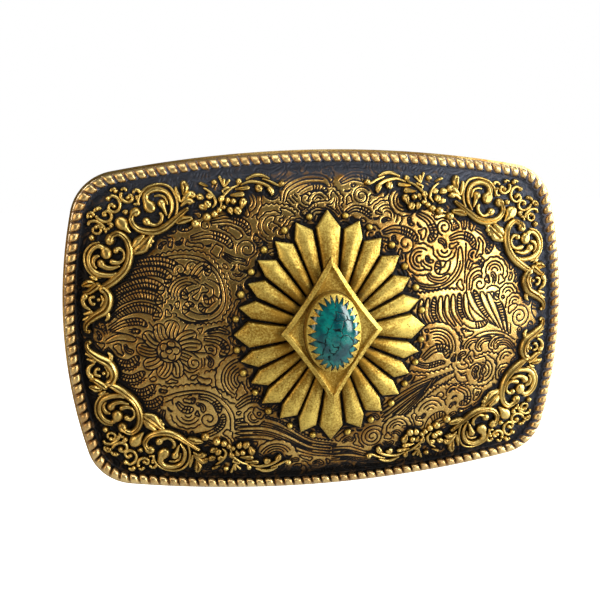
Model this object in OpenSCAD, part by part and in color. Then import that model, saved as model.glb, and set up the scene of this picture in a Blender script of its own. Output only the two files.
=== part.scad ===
// Western plate belt buckle: a domed plate with a rope border and applied scrolls,
// sprays, a sunburst and a stone in a diamond mount. On its back a wire bail swings
// in two lugs and a peg takes the holes of the belt.
// X runs to the right as seen from the front, -Y is the front face, Z is up.

/* [Plate] */
// Width across the bowed ends
plate_w = 98; // [92:1:104]
// Height across the bowed long sides
plate_h = 66.4; // [63:0.2:70]
// How far the short sides fall back at the corners
end_bow = 6; // [5:0.5:7]
// How far the long sides fall back at the corners
side_bow = 5.4; // [4.6:0.2:6.2]
// Corner radius
corner_r = 9.5; // [8.5:0.5:10.5]
// Height of the dome at the centre over the rim
dome_h = 7; // [6:0.5:8]
// Thickness of the plate
plate_t = 1.6; // [1.4:0.1:1.8]

/* [Ornament] */
// Width of the rope border
rope_w = 2.4; // [2:0.1:2.8]
// Height of the rope border over the plate
rope_h = 1.4; // [1:0.1:1.8]
// Height of the scrolls and sprays over the plate
scroll_h = 0.9; // [0.6:0.1:1.2]
// Height of the sunburst over the plate
petal_h = 1.5; // [1.2:0.1:1.8]
// Radius of the beads between the petal tips
bead_r = 0.55; // [0.4:0.05:0.7]

/* [Stone mount] */
// Half the width of the diamond plate
diamond_hw = 9.2; // [8.5:0.1:10]
// Half the height of the diamond plate
diamond_hh = 13.3; // [12:0.1:14]
// Half the width of the stone
stone_hw = 4.65; // [4.2:0.05:5]
// Half the height of the stone
stone_hh = 6.85; // [6.4:0.05:7.2]
// Rise of the stone's dome over its edge
stone_rise = 1.8; // [1.4:0.1:2.4]
// Number of teeth round the bezel
teeth = 26; // [20:2:30]

/* [Bail] */
// Width of the strap that the bail takes
strap_w = 38; // [35:1:40]
// Room beside the strap, both sides together
strap_play = 2; // [1:0.5:3]
// Diameter of the bail wire
wire_d = 2.6; // [2.4:0.1:3]
// Reach of the bail from its hinge to its bar
bail_reach = 13; // [12:0.5:14]
// Distance of the hinge from the middle of the plate
hinge_x = 31; // [30:0.5:32]
// Height of the hinge behind the rim
hinge_rise = 4; // [3.8:0.1:5]
// Running clearance of the wire in its lugs, each side
hinge_gap = 0.05; // [0.02:0.01:0.1]

/* [Belt peg] */
// Radius of the peg
peg_r = 2; // [1.8:0.1:2.2]
// Length of the peg's plain shank
peg_l = 6; // [5:0.5:7]
// Lean of the peg towards the bail
peg_lean = 15; // [0:1:20]
// Distance of the peg from the middle of the plate
peg_x = 30; // [26:1:32]

/* [Hidden] */

brass = [0.62, 0.48, 0.22];
dark_brass = [0.42, 0.32, 0.15];
light_brass = [0.74, 0.6, 0.32];
turquoise = [0.02, 0.4, 0.42];
pitch = [0.12, 0.1, 0.08];

half_w = plate_w / 2;
half_h = plate_h / 2;

// The size at which the ornament's places are drawn; they follow the plate's size
drawn_w = 98;
drawn_h = 66.4;

// Posts that the strokes and buds are made of
post_sides = 6;
// Share of a post's width that is left at its top
post_top = 0.62;
// Share of the plate's thickness that a post reaches into it
post_sink = 0.5;
bud_taper = 0.6;

// Rounded outline: two arcs for each side and one for the corner, in one quarter
segs_end = 5;
segs_corner = 6;
segs_long = 8;
end_arc_r = (half_h * half_h + end_bow * end_bow) / (2 * end_bow);
long_arc_r = (half_w * half_w + side_bow * side_bow) / (2 * side_bow);
end_c = [half_w - end_arc_r, 0];
long_c = [0, half_h - long_arc_r];
centre_gap = norm(long_c - end_c);
towards_long = (long_c - end_c) / centre_gap;
to_corner_end = end_arc_r - corner_r;
to_corner_long = long_arc_r - corner_r;
along = (pow(to_corner_end, 2) - pow(to_corner_long, 2) + pow(centre_gap, 2))
    / (2 * centre_gap);
across = sqrt(pow(to_corner_end, 2) - along * along);
corner_c = end_c + along * towards_long + across * [-towards_long.y, towards_long.x];
end_angle = atan2(corner_c.y - end_c.y, corner_c.x - end_c.x);
long_angle = atan2(corner_c.y - long_c.y, corner_c.x - long_c.x);

// Rings of the plate's grid inside the rope border
rings = 9;

// Stack on the front of the dome, each as a height over the rim
hub_top = dome_h + petal_h;
diamond_floor = 0.9;
diamond_rim_h = 0.5;
diamond_rim_w = 0.9;
// The diamond's sides are drawn in a little; 0.5 would make them straight
side_waist = 0.46;
diamond_top = hub_top + diamond_floor;
cup_floor = 0.4;
bed_t = 0.4;
girdle_h = 0.6;
stone_base = diamond_top + cup_floor + bed_t;
stone_edge = stone_base + girdle_h;
stone_top = stone_edge + stone_rise;
cup_gap = 0.05;
cup_wall = 0.45;
cup_top = stone_edge + 0.2;

// Peg: its pad stands on the hollow back
pad_r = 3.8;
pad_t = 1.6;
// The peg's shoulder, which keeps the strap off the pad
shoulder_r = 2.7;
shoulder_h = 1.2;
// How far a foot reaches into the plate past the deepest back skin under it
foot_bite = 0.06;

// The rim's place in Y puts the origin in the middle of the whole depth
function dome_at(x, z) =
    dome_h
        * (1 - pow(x / (half_w * (1 - end_bow / half_w * pow(z / half_h, 2))), 2))
        * (1 - pow(z / (half_h * (1 - side_bow / half_h * pow(x / half_w, 2))), 2));
pad_rise = pad_t + plate_t - dome_at(peg_x, 0);
peg_reach = pad_rise + (shoulder_h + peg_l) * cos(peg_lean) + peg_r;
rim_y = (stone_top - peg_reach) / 2;

function front_y(x, z) = rim_y - dome_at(x, z);
function over_rim(h) = rim_y - h;

hinge_y = rim_y + hinge_rise;
wire_r = wire_d / 2;
arm_z = (strap_w + strap_play) / 2 + wire_r;
bar_bend_r = 3;
pin_bend_r = 2.6;
lug_t = 3.2;
lug_wall = 1.6;
lug_clear = 0.4;
lug_z = arm_z - pin_bend_r - lug_clear - lug_t / 2;
pin_end_z = lug_z - lug_t / 2 - 0.6;
fine = 64;

// Outline and domed grid ---------------------------------------------------

function arc_point(c, r, a) = [c.x + r * cos(a), c.y + r * sin(a)];

function quarter(inset) = [
    for (i = [0 : segs_end - 1])
        arc_point(end_c, end_arc_r - inset, end_angle * i / segs_end),
    for (i = [0 : segs_corner - 1])
        arc_point(corner_c, corner_r - inset,
            end_angle + (long_angle - end_angle) * i / segs_corner),
    for (i = [0 : segs_long])
        arc_point(long_c, long_arc_r - inset,
            long_angle + (90 - long_angle) * i / segs_long),
];

// Whole outline, set in by inset, from +X towards +Z
function outline(inset) =
    let (q = quarter(inset), n = len(q) - 1)
    [
        for (i = [0 : n - 1]) q[i],
        for (i = [0 : n - 1]) [-q[n - i].x, q[n - i].y],
        for (i = [0 : n - 1]) -q[i],
        for (i = [0 : n - 1]) [q[n - i].x, -q[n - i].y],
    ];

// Two triangles for each cell between ring a and ring b, which start at those indices
function strip(a, b, n) = [
    for (j = [0 : n - 1])
        let (k = (j + 1) % n)
        each [[a + j, a + k, b + k], [a + j, b + k, b + j]],
];

function flipped(faces) = [for (f = faces) [f[2], f[1], f[0]]];

// Closed sheet that follows the dome from its front skin to thickness t behind it
module dome_sheet(t) {
    inner = outline(rope_w);
    grid = concat([for (i = [1 : rings]) inner * i / rings], [outline(0)]);
    n = len(inner);
    front = concat([[0, 0]], [for (ring = grid) each ring]);
    count = len(front);
    skin_faces = concat(
        [for (j = [0 : n - 1]) [0, 1 + (j + 1) % n, 1 + j]],
        [for (i = [0 : rings - 1]) each strip(1 + i * n, 1 + (i + 1) * n, n)]
    );
    back_faces = [for (f = flipped(skin_faces)) [for (v = f) v + count]];
    polyhedron(
        points = concat(
            [for (p = front) [p.x, front_y(p.x, p.y), p.y]],
            [for (p = front) [p.x, front_y(p.x, p.y) + t, p.y]]
        ),
        faces = concat(
            skin_faces,
            back_faces,
            strip(1 + rings * n, count + 1 + rings * n, n)
        )
    );
}

// Strokes of the ornament --------------------------------------------------

function placed(p) = [p.x * plate_w / drawn_w, p.y * plate_h / drawn_h];

function spline_point(p, i, t) =
    let (
        a = p[max(i - 1, 0)],
        b = p[i],
        c = p[i + 1],
        d = p[min(i + 2, len(p) - 1)]
    )
    0.5 * (2 * b + (c - a) * t + (2 * a - 5 * b + 4 * c - d) * t * t
        + (3 * b - a - 3 * c + d) * t * t * t);

// Smooth curve through the points, with a number of steps from each to the next
function curve(p, steps) = [
    for (i = [0 : len(p) - 2]) for (s = [0 : steps - 1]) spline_point(p, i, s / steps),
    p[len(p) - 1],
];

// Short bevelled post that stands on the dome and reaches into the plate
module post(p, w, h) {
    q = placed(p);
    translate([q.x, front_y(q.x, q.y) - h, q.y])
        rotate([-90, 0, 0])
            cylinder(d1 = w * post_top, d2 = w, h = h + plate_t * post_sink, $fn = post_sides);
}

// Band along a curve, from width w0 to width w1
module stroke(p, w0, w1, steps = 2, h = scroll_h) {
    path = curve(p, steps);
    last = len(path) - 1;
    for (i = [0 : last - 1])
        hull() {
            post(path[i], w0 + (w1 - w0) * i / last, h);
            post(path[i + 1], w0 + (w1 - w0) * (i + 1) / last, h);
        }
}

// Ball or bud, drawn out from p to q
module bud(p, q, w, h = scroll_h) {
    hull() {
        post(p, w, h);
        post(q, w * bud_taper, h);
    }
}

// What stands on the plate, mirrored to one quarter and seated on the dome
module seated(left, below) {
    difference() {
        mirror([left ? 1 : 0, 0, 0])
            mirror([0, 0, below ? 1 : 0])
                children();
        dome_sheet(plate_t);
    }
}

module corner_scroll(left, below) {
    color(brass)
        seated(left, below) {
            // upper volute: outer turn, long lower turn and inner hook
            stroke([[31.8, 22.9], [33, 25.3], [30, 27.3], [27.3, 24], [28.5, 20.5]], 2, 1.2);
            stroke([[34, 21.7], [35.6, 21], [33, 19.2], [29, 19.8], [26, 22.6]], 1.4, 0.7);
            stroke([[32.6, 21], [31.4, 19.7], [29.8, 20.8], [30.3, 22.3]], 1, 0.8, 1);
            // lower volute
            stroke([[40.2, 15.6], [41.8, 17], [44.2, 14.2], [42.3, 11.4], [39.6, 10.4]], 1.8, 1.2);
            stroke([[38.9, 17.5], [37.6, 18.8], [35.8, 15.5], [36.8, 12.5], [40.4, 9.9]], 1.3, 1.2);
            stroke([[38.2, 16], [37.3, 15], [38, 13.6], [39.2, 13.9]], 1, 0.8, 1);
            stroke([[41, 13.5], [39, 12.5], [37, 13.4]], 1.4, 0.9, 1);
            // teardrop between the volutes, and the bridge under it
            bud([37.5, 20.9], [35.9, 19.6], 2);
            stroke([[35.2, 20.6], [36.3, 19.4], [37.8, 18.6]], 1, 1, 1);
            stroke([[35.6, 15.8], [33.8, 17], [32.2, 18.9]], 1.2, 1.6, 1);
            // lace towards the corner
            stroke([[32.8, 25.4], [34.3, 26.2], [35.8, 25.3], [37.2, 24.4], [38.3, 22.5]], 0.9, 0.9, 1);
            stroke([[37.9, 21.4], [39.8, 22.2], [41.2, 21.4], [41.6, 19.4], [42, 17]], 0.9, 0.9, 1);
            stroke([[37.2, 24.4], [38.4, 25.2], [39.6, 24.2], [39.8, 22.2]], 0.8, 0.8, 1);
        }
}

module side_scroll(left, below) {
    color(brass)
        seated(left, below) {
            bud([42.6, 9.2], [44.6, 9.3], 1.3);
            stroke([[42.2, 9], [40.4, 8], [40, 6.6], [41, 4.9], [43, 3.9]], 1.4, 1);
            stroke([[42.6, 8.6], [44.3, 8], [44.9, 6.8], [44.4, 5.6], [43, 4.4]], 1, 0.9, 1);
            stroke([[43, 3.9], [44.7, 2.6], [44.4, 1.3], [43.6, 1.4]], 1, 0.9);
            bud([43.2, 4.2], [45, 3.9], 0.9);
        }
}

module floral_spray(left, below) {
    color(light_brass)
        seated(left, below) {
            // stem from the berries to the tip
            stroke([[21.8, 21.4], [20.6, 23], [19.5, 24.6], [16.4, 26.6], [12.6, 27.3],
                [10, 26.2], [8.4, 26.8]], 1.1, 0.8);
            // leaves and buds on the left of the stem
            bud([21, 23.6], [24, 22.4], 1.2);
            bud([20.6, 24.2], [24, 25.2], 1.3);
            bud([20.2, 24.8], [21.6, 27], 1.2);
            bud([18.4, 26], [19, 28], 1.1);
            // berries
            for (p = [[22.2, 21.1], [20.4, 21.6], [19.3, 22.2], [18.4, 23]])
                bud(p, [20.2, 23.6], 1);
            // flower
            for (a = [0 : 72 : 359])
                bud([16.6, 23.6], [16.6 + 1.5 * cos(a), 23.6 + 1.5 * sin(a)], 1.2);
            bud([17.2, 24.4], [17.6, 25.8], 1);
            // end leaves
            bud([14.6, 27.2], [12.6, 28.6], 1);
            bud([12.8, 27.2], [12.2, 25.4], 0.9);
            bud([15.4, 26.6], [14, 25.2], 1);
        }
}

// Sunburst -----------------------------------------------------------------

// One petal: the angles from +Z where it starts and ends, the angle of its point, and
// the radii of its point, of its first shoulder and of its second
top_petal = [-6.6, 6.6, 0, 22.1, 19.1, 19.1];
side_petal = [81.4, 98.6, 90, 18, 15.5, 15.5];
quarter_petals = [
    [9.2, 20.2, 16.5, 20.8, 18.8, 18.1],
    [22.4, 34, 30.6, 19.4, 17.5, 16.6],
    [36.6, 48.4, 44.6, 18.8, 16.6, 15.9],
    [51, 63.2, 58.5, 17.7, 15.5, 15.2],
    [66.2, 78.4, 73.5, 17.6, 15.1, 15.1],
];
petal_in_r = 6.5;
petal_edge = 0.5;
tip_h = petal_h * 0.7;
hub_r = 8.2;
rivet_r = 1.2;
rivet_bore_r = 1.25;
// How far a cutter runs past what it cuts
over = 1;

// Beads of one quarter, between the points of the petals
quarter_beads = [[3.4, 20.9], [7.9, 18.6], [11.9, 15.3], [14.4, 11.3], [16.5, 7.3], [17.5, 2.85]];
// Share of its radius that a bead's centre stands over the plate
bead_sit = 0.7;
bead_sides = 8;

function polar(r, a) = [r * sin(a), r * cos(a)];

// Angle that half an edge takes at radius r
function edge_angle(r) = asin(petal_edge / 2 / r);

module petal(p) {
    first = p[0];
    last = p[1];
    hull() {
        post(polar(petal_in_r, first + edge_angle(petal_in_r)), petal_edge, petal_h);
        post(polar(petal_in_r, last - edge_angle(petal_in_r)), petal_edge, petal_h);
        post(polar(p[4], first + edge_angle(p[4])), petal_edge, petal_h);
        post(polar(p[5], last - edge_angle(p[5])), petal_edge, petal_h);
        post(polar(p[3] - petal_edge, p[2]), petal_edge, tip_h);
    }
}

// Children, and their mirror images in X, in Z and in both
module in_four_quarters() {
    for (left = [0, 1])
        for (below = [0, 1])
            mirror([left, 0, 0])
                mirror([0, 0, below])
                    children();
}

module sunburst() {
    color(light_brass)
        difference() {
            union() {
                in_four_quarters()
                    for (p = quarter_petals) petal(p);
                for (below = [0, 1]) mirror([0, 0, below]) petal(top_petal);
                for (left = [0, 1]) mirror([left, 0, 0]) petal(side_petal);
                translate([0, over_rim(hub_top), 0])
                    rotate([-90, 0, 0])
                        cylinder(r = hub_r, h = petal_h + plate_t * post_sink, $fn = fine);
            }
            dome_sheet(plate_t);
            slab(dome_h - over, hub_top + over) circle(r = rivet_bore_r, $fn = fine);
        }
}

module bead_ring() {
    color(light_brass)
        difference() {
            in_four_quarters()
                for (p = quarter_beads) {
                    q = placed(p);
                    translate([q.x, front_y(q.x, q.y) - bead_r * bead_sit, q.y])
                        hull()
                            sphere(r = bead_r, $fn = bead_sides);
                }
            dome_sheet(plate_t);
        }
}

// Stone and its mount -------------------------------------------------------

function oval(hw, hh, n) = [for (i = [0 : n - 1]) [hw * cos(360 * i / n), hh * sin(360 * i / n)]];

// Flat piece with its outline in X and Z, from height h0 to height h1 over the rim
module slab(h0, h1) {
    translate([0, over_rim(h0), 0])
        rotate([90, 0, 0])
            linear_extrude(height = h1 - h0)
                children();
}

// Rhombus with flared points, drawn in by inset
module rhombus(inset) {
    slant = norm([diamond_hw, diamond_hh]);
    hw = diamond_hw - inset * slant / diamond_hh;
    hh = diamond_hh - inset * slant / diamond_hw;
    polygon([
        [hw, 0], [hw, hh] * side_waist,
        [0, hh], [-hw, hh] * side_waist,
        [-hw, 0], [-hw, -hh] * side_waist,
        [0, -hh], [hw, -hh] * side_waist,
    ]);
}

module diamond_plate() {
    color(brass)
        difference() {
            slab(hub_top, diamond_top + diamond_rim_h) rhombus(0);
            slab(diamond_top, diamond_top + diamond_rim_h + over) rhombus(diamond_rim_w);
            slab(hub_top - over, diamond_top + over) circle(r = rivet_bore_r, $fn = fine);
        }
}

oval_steps = 52;
cup_hw = stone_hw + cup_gap;
cup_hh = stone_hh + cup_gap;
tooth_foot = [0.27, 0.2, 0.5];
tooth_tip = [0.16, 0.1, 0.2];
tooth_rise = 0.5;
tooth_in = 0.2;

module tooth_end(hw, hh, a, h, size) {
    translate([hw * cos(a), over_rim(h), hh * sin(a)])
        rotate([0, -a, 0])
            cube(size, center = true);
}

module bezel_cup() {
    color(light_brass) {
        difference() {
            slab(diamond_top, cup_top)
                polygon(oval(cup_hw + cup_wall, cup_hh + cup_wall, oval_steps));
            slab(diamond_top + cup_floor, cup_top + over)
                polygon(oval(cup_hw, cup_hh, oval_steps));
        }
        // teeth that lean over the stone's edge
        for (i = [0 : teeth - 1]) {
            a = 360 * i / teeth;
            hull() {
                tooth_end(cup_hw + cup_wall / 2, cup_hh + cup_wall / 2, a, cup_top, tooth_foot);
                tooth_end(cup_hw - tooth_in, cup_hh - tooth_in, a, cup_top + tooth_rise, tooth_tip);
            }
        }
    }
}

module stone_bed() {
    color(pitch)
        slab(diamond_top + cup_floor, stone_base)
            polygon(oval(stone_hw, stone_hh, oval_steps));
}

module cabochon() {
    levels = 7;
    fullness = 0.7;
    n = oval_steps;
    // share of the half width at each level of the dome, from its edge to its crown
    shares = [for (k = [0 : levels - 1]) cos(90 * k / levels)];
    skin = concat(
        [for (p = oval(stone_hw, stone_hh, n)) [p.x, over_rim(stone_base), p.y]],
        [for (k = [0 : levels - 1]) each [
            for (p = oval(stone_hw, stone_hh, n) * shares[k])
                [p.x, over_rim(stone_edge + stone_rise * pow(1 - pow(shares[k], 2), fullness)), p.y]
        ]],
        [[0, over_rim(stone_top), 0]]
    );
    crown = len(skin) - 1;
    color(turquoise)
        polyhedron(
            points = skin,
            faces = concat(
                [[for (j = [0 : n - 1]) j]],
                [for (k = [0 : levels - 1]) each flipped(strip(k * n, (k + 1) * n, n))],
                [for (j = [0 : n - 1]) [levels * n + (j + 1) % n, levels * n + j, crown]]
            )
        );
}

// Fixings and fittings on the back --------------------------------------------

module centre_rivet() {
    head_r = 2.6;
    head_t = 0.9;
    back = dome_h - plate_t;
    head_seat = 0.05;
    color(dark_brass) {
        slab(back - head_seat - head_t, back - head_seat) circle(r = head_r, $fn = fine);
        slab(back - head_seat, diamond_top) circle(r = rivet_r, $fn = fine);
    }
}

module base_plate() {
    color(dark_brass)
        difference() {
            dome_sheet(plate_t);
            slab(dome_h - plate_t - over, dome_h + over) circle(r = rivet_bore_r, $fn = fine);
        }
}

// Rope border: a half-round roll that sits on the margin of the plate
module rope_edge() {
    arch = 6;
    n = len(outline(0));
    layers = [for (k = [0 : arch])
        let (a = 180 * k / arch, inset = rope_w * (1 + cos(a)) / 2)
        [for (p = outline(inset)) [p.x, front_y(p.x, p.y) - rope_h * sin(a), p.y]]
    ];
    color(light_brass)
        polyhedron(
            points = [for (layer = layers) each layer],
            faces = concat(
                [for (k = [0 : arch - 1]) each strip(k * n, (k + 1) * n, n)],
                flipped(strip(0, arch * n, n))
            )
        );
}

module bail_lug(side) {
    lug_r = wire_r + hinge_gap + lug_wall;
    deepest = dome_at(hinge_x - lug_r, lug_z - lug_t / 2) - plate_t;
    foot = hinge_rise + deepest + foot_bite;
    translate([-hinge_x, hinge_y, side * lug_z])
        color(dark_brass)
            difference() {
                union() {
                    cylinder(r = lug_r, h = lug_t, center = true, $fn = fine);
                    translate([-lug_r, -foot, -lug_t / 2]) cube([2 * lug_r, foot, lug_t]);
                }
                cylinder(r = wire_r + hinge_gap, h = lug_t + over, center = true, $fn = fine);
                translate([hinge_x, -hinge_y, -side * lug_z]) dome_sheet(plate_t);
            }
}

// Round wire from a to b along the row axis that joins them
module wire(a, b) {
    d = b - a;
    translate(a)
        rotate([0, d.x == 0 ? 0 : 90, 0])
            cylinder(r = wire_r, h = d.x + d.z, $fn = fine);
}

// Quarter turn of wire in the plane of X and Z, from the start angle against the clock
module wire_bend(c, r, start) {
    translate(c)
        rotate([90, 0, 0])
            rotate_extrude(angle = 90, start = start, $fn = fine)
                translate([r, 0]) circle(r = wire_r, $fn = fine);
}

module bail() {
    bar_x = -hinge_x - bail_reach;
    color(brass) {
        wire([bar_x, hinge_y, bar_bend_r - arm_z], [bar_x, hinge_y, arm_z - bar_bend_r]);
        for (s = [0, 1])
            mirror([0, 0, s]) {
                wire_bend([bar_x + bar_bend_r, hinge_y, arm_z - bar_bend_r], bar_bend_r, 90);
                wire([bar_x + bar_bend_r, hinge_y, arm_z], [-hinge_x - pin_bend_r, hinge_y, arm_z]);
                wire_bend([-hinge_x - pin_bend_r, hinge_y, arm_z - pin_bend_r], pin_bend_r, 0);
                wire([-hinge_x, hinge_y, pin_end_z], [-hinge_x, hinge_y, arm_z - pin_bend_r]);
            }
    }
}

module peg_pad() {
    deepest = dome_at(peg_x - pad_r, 0) - plate_t;
    color(dark_brass)
        difference() {
            translate([peg_x, rim_y + pad_rise, 0])
                rotate([90, 0, 0])
                    cylinder(r = pad_r, h = pad_rise + deepest + foot_bite, $fn = fine);
            dome_sheet(plate_t);
        }
}

module belt_peg() {
    root = 2;
    color(brass)
        translate([peg_x, rim_y + pad_rise, 0])
            difference() {
                rotate([-90, 0, 0])
                    rotate([0, -peg_lean, 0]) {
                        translate([0, 0, -root])
                            cylinder(r = shoulder_r, h = root + shoulder_h, $fn = fine);
                        cylinder(r = peg_r, h = shoulder_h + peg_l, $fn = fine);
                        translate([0, 0, shoulder_h + peg_l]) sphere(r = peg_r, $fn = fine);
                    }
                translate([-2 * pad_r, -2 * pad_r, -2 * pad_r])
                    cube([4 * pad_r, 2 * pad_r, 4 * pad_r]);
            }
}

base_plate();
rope_edge();
corner_scroll(true, false);  // corner_scroll_top_left
corner_scroll(false, false);  // corner_scroll_top_right
corner_scroll(true, true);  // corner_scroll_bottom_left
corner_scroll(false, true);  // corner_scroll_bottom_right
side_scroll(true, false);  // side_scroll_top_left
side_scroll(false, false);  // side_scroll_top_right
side_scroll(true, true);  // side_scroll_bottom_left
side_scroll(false, true);  // side_scroll_bottom_right
floral_spray(true, false);  // floral_spray_top_left
floral_spray(false, false);  // floral_spray_top_right
floral_spray(true, true);  // floral_spray_bottom_left
floral_spray(false, true);  // floral_spray_bottom_right
sunburst();
bead_ring();
diamond_plate();
bezel_cup();
stone_bed();
cabochon();
centre_rivet();
bail_lug(1);  // bail_lug_upper
bail_lug(-1);  // bail_lug_lower
bail();
peg_pad();
belt_peg();
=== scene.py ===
import math

import bmesh
import bpy
import numpy as np
from mathutils import Matrix, Vector


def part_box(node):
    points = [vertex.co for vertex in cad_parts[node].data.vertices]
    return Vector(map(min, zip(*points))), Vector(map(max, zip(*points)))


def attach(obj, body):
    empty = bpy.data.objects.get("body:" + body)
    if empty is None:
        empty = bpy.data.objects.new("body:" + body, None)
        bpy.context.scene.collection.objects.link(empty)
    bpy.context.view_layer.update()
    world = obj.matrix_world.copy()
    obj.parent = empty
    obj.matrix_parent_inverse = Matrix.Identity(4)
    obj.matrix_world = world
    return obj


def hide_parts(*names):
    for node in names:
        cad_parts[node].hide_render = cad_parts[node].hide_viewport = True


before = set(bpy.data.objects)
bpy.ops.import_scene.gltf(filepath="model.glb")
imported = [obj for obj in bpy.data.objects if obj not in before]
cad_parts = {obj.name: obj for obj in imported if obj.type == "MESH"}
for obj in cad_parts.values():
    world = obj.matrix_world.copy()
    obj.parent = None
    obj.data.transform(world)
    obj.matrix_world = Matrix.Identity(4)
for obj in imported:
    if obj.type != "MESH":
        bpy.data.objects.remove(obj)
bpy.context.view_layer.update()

# Sizes, in millimetres ----------------------------------------------------------------

MM = 0.001
HALF_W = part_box("base_plate")[1].x / MM
HALF_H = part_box("base_plate")[1].z / MM
END_BOW = 6.0
SIDE_BOW = 5.4
CORNER_R = 9.5
DOME_H = 7.0
PLATE_T = 1.6
RIM_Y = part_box("base_plate")[1].y / MM - PLATE_T
ROPE_W = 2.4
ROPE_H = 1.4
SCROLL_H = 0.95
PETAL_H = 1.5
# How far the foot of an applied piece reaches into the plate
SINK = 0.35

# Heights over the rim of the stack on the middle of the dome
HUB_TOP = DOME_H + PETAL_H
DIAMOND_FLOOR = HUB_TOP + 0.9
STONE_BASE = DIAMOND_FLOOR + 0.8
STONE_EDGE = STONE_BASE + 0.6
STONE_TOP = STONE_EDGE + 1.8

# The way across and the way up to each quarter of the plate, for what is the same in all four
QUARTERS = {
    "top_right": (1, 1), "top_left": (-1, 1), "bottom_right": (1, -1), "bottom_left": (-1, -1),
}

RNG = np.random.default_rng(26)


def front_y(x, z):
    """The plate's front skin, the same dome as the frame's."""
    px = x / (HALF_W * (1 - END_BOW / HALF_W * (z / HALF_H) ** 2))
    pz = z / (HALF_H * (1 - SIDE_BOW / HALF_H * (x / HALF_W) ** 2))
    return RIM_Y - DOME_H * (1 - px**2) * (1 - pz**2)


def smooth(low, high, value):
    """0 at low, 1 at high and an even S between them."""
    t = np.clip((value - low) / (high - low), 0, 1)
    return t * t * (3 - 2 * t)


# Curves and outlines --------------------------------------------------------------------


def curve(points, step):
    """Smooth curve through the points: its places, and the number of the point at each."""
    p = np.asarray(points, float)
    p = np.vstack([2 * p[0] - p[1], p, 2 * p[-1] - p[-2]])
    places, knots = [], []
    for k in range(len(p) - 3):
        a, b, c, d = p[k : k + 4]
        count = max(2, math.ceil(np.linalg.norm(c - b) / step))
        t = np.linspace(0, 1, count, endpoint=False)[:, None]
        cubic = (3 * b - a - 3 * c + d) * t**3 + (2 * a - 5 * b + 4 * c - d) * t**2
        places.append(0.5 * (2 * b + (c - a) * t + cubic))
        knots.append(k + t[:, 0])
    places.append(p[-2][None])
    knots.append([len(p) - 3.0])
    return np.vstack(places), np.concatenate(knots)


def run_length(points):
    """Distance along a line of points from its start."""
    return np.r_[0, np.cumsum(np.linalg.norm(np.diff(points, axis=0), axis=1))]


def at_distance(points, distances):
    along = run_length(points)
    return np.column_stack([np.interp(distances, along, column) for column in points.T])


def evenly(points, count):
    return at_distance(points, np.linspace(0, run_length(points)[-1], count))


def sideways(points):
    """Unit vectors across a line of points."""
    ahead = np.gradient(points, axis=0)
    ahead /= np.maximum(np.linalg.norm(ahead, axis=1), 1e-9)[:, None]
    return np.column_stack([-ahead[:, 1], ahead[:, 0]])


def quarter_outline(inset):
    """From the right end to the top middle: end arc, corner and long arc. Also gives the
    index of the corner's middle."""
    end_r = (HALF_H**2 + END_BOW**2) / (2 * END_BOW)
    long_r = (HALF_W**2 + SIDE_BOW**2) / (2 * SIDE_BOW)
    end_c = np.array([HALF_W - end_r, 0.0])
    long_c = np.array([0.0, HALF_H - long_r])
    gap = np.linalg.norm(long_c - end_c)
    towards = (long_c - end_c) / gap
    near, far = end_r - CORNER_R, long_r - CORNER_R
    along = (near**2 - far**2 + gap**2) / (2 * gap)
    across = math.sqrt(near**2 - along**2)
    corner_c = end_c + along * towards + across * np.array([-towards[1], towards[0]])
    end_angle = math.atan2(*(corner_c - end_c)[::-1])
    long_angle = math.atan2(*(corner_c - long_c)[::-1])

    def arc(centre, radius, start, stop, count):
        a = np.linspace(start, stop, count, endpoint=False)
        return centre + (radius - inset) * np.column_stack([np.cos(a), np.sin(a)])

    steps = 160
    points = np.vstack([
        arc(end_c, end_r, 0, end_angle, steps),
        arc(corner_c, CORNER_R, end_angle, long_angle, steps),
        arc(long_c, long_r, long_angle, math.pi / 2, steps),
        [[0, HALF_H - inset]],
    ])
    return points, steps + steps // 2


def outline(inset, count):
    """The whole outline, set in by inset, as evenly spaced points from the right end."""
    quarter, _ = quarter_outline(inset)
    upper = np.vstack([quarter, quarter[-2::-1] * [-1, 1]])
    loop = np.vstack([upper, upper[-2::-1] * [1, -1]])
    return evenly(loop, count + 1)[:-1]


# Meshes ---------------------------------------------------------------------------------


def grid_faces(rows, cols, wrap_rows=False, wrap_cols=False):
    r = np.arange(rows if wrap_rows else rows - 1)
    c = np.arange(cols if wrap_cols else cols - 1)
    r, c = np.meshgrid(r, c, indexing="ij")
    r1, c1 = (r + 1) % rows, (c + 1) % cols
    quads = np.stack([r * cols + c, r * cols + c1, r1 * cols + c1, r1 * cols + c], axis=-1)
    return quads.reshape(-1, 4).tolist()


class Body:
    """Vertices in millimetres, each with how much grime and painted shade it takes, and faces, for one
    mesh.
    """

    def __init__(self):
        self.verts = []
        self.hollow = []
        self.faces = []
        self.count = 0

    def add(self, verts, faces, hollow):
        verts = np.asarray(verts, float).reshape(-1, 3)
        self.verts.append(verts)
        self.hollow.append(np.broadcast_to(hollow, (len(verts),)))
        self.faces += [[v + self.count for v in face] for face in faces]
        self.count += len(verts)

    def tube(self, sections, hollow, wrap=False):
        """Closed rings one after another; open ends are capped."""
        sections = np.asarray(sections, float)
        rows, cols = sections.shape[:2]
        faces = grid_faces(rows, cols, wrap_rows=wrap, wrap_cols=True)
        if not wrap:
            faces.append(list(range(cols))[::-1])
            faces.append(list(range((rows - 1) * cols, rows * cols)))
        self.add(sections, faces, np.asarray(hollow, float).reshape(-1))

    def mirrored(self, across, up):
        twin = Body()
        twin.verts = [v * [across, 1, up] for v in self.verts]
        twin.hollow = self.hollow
        twin.faces = self.faces if across == up else [f[::-1] for f in self.faces]
        twin.count = self.count
        return twin


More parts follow.
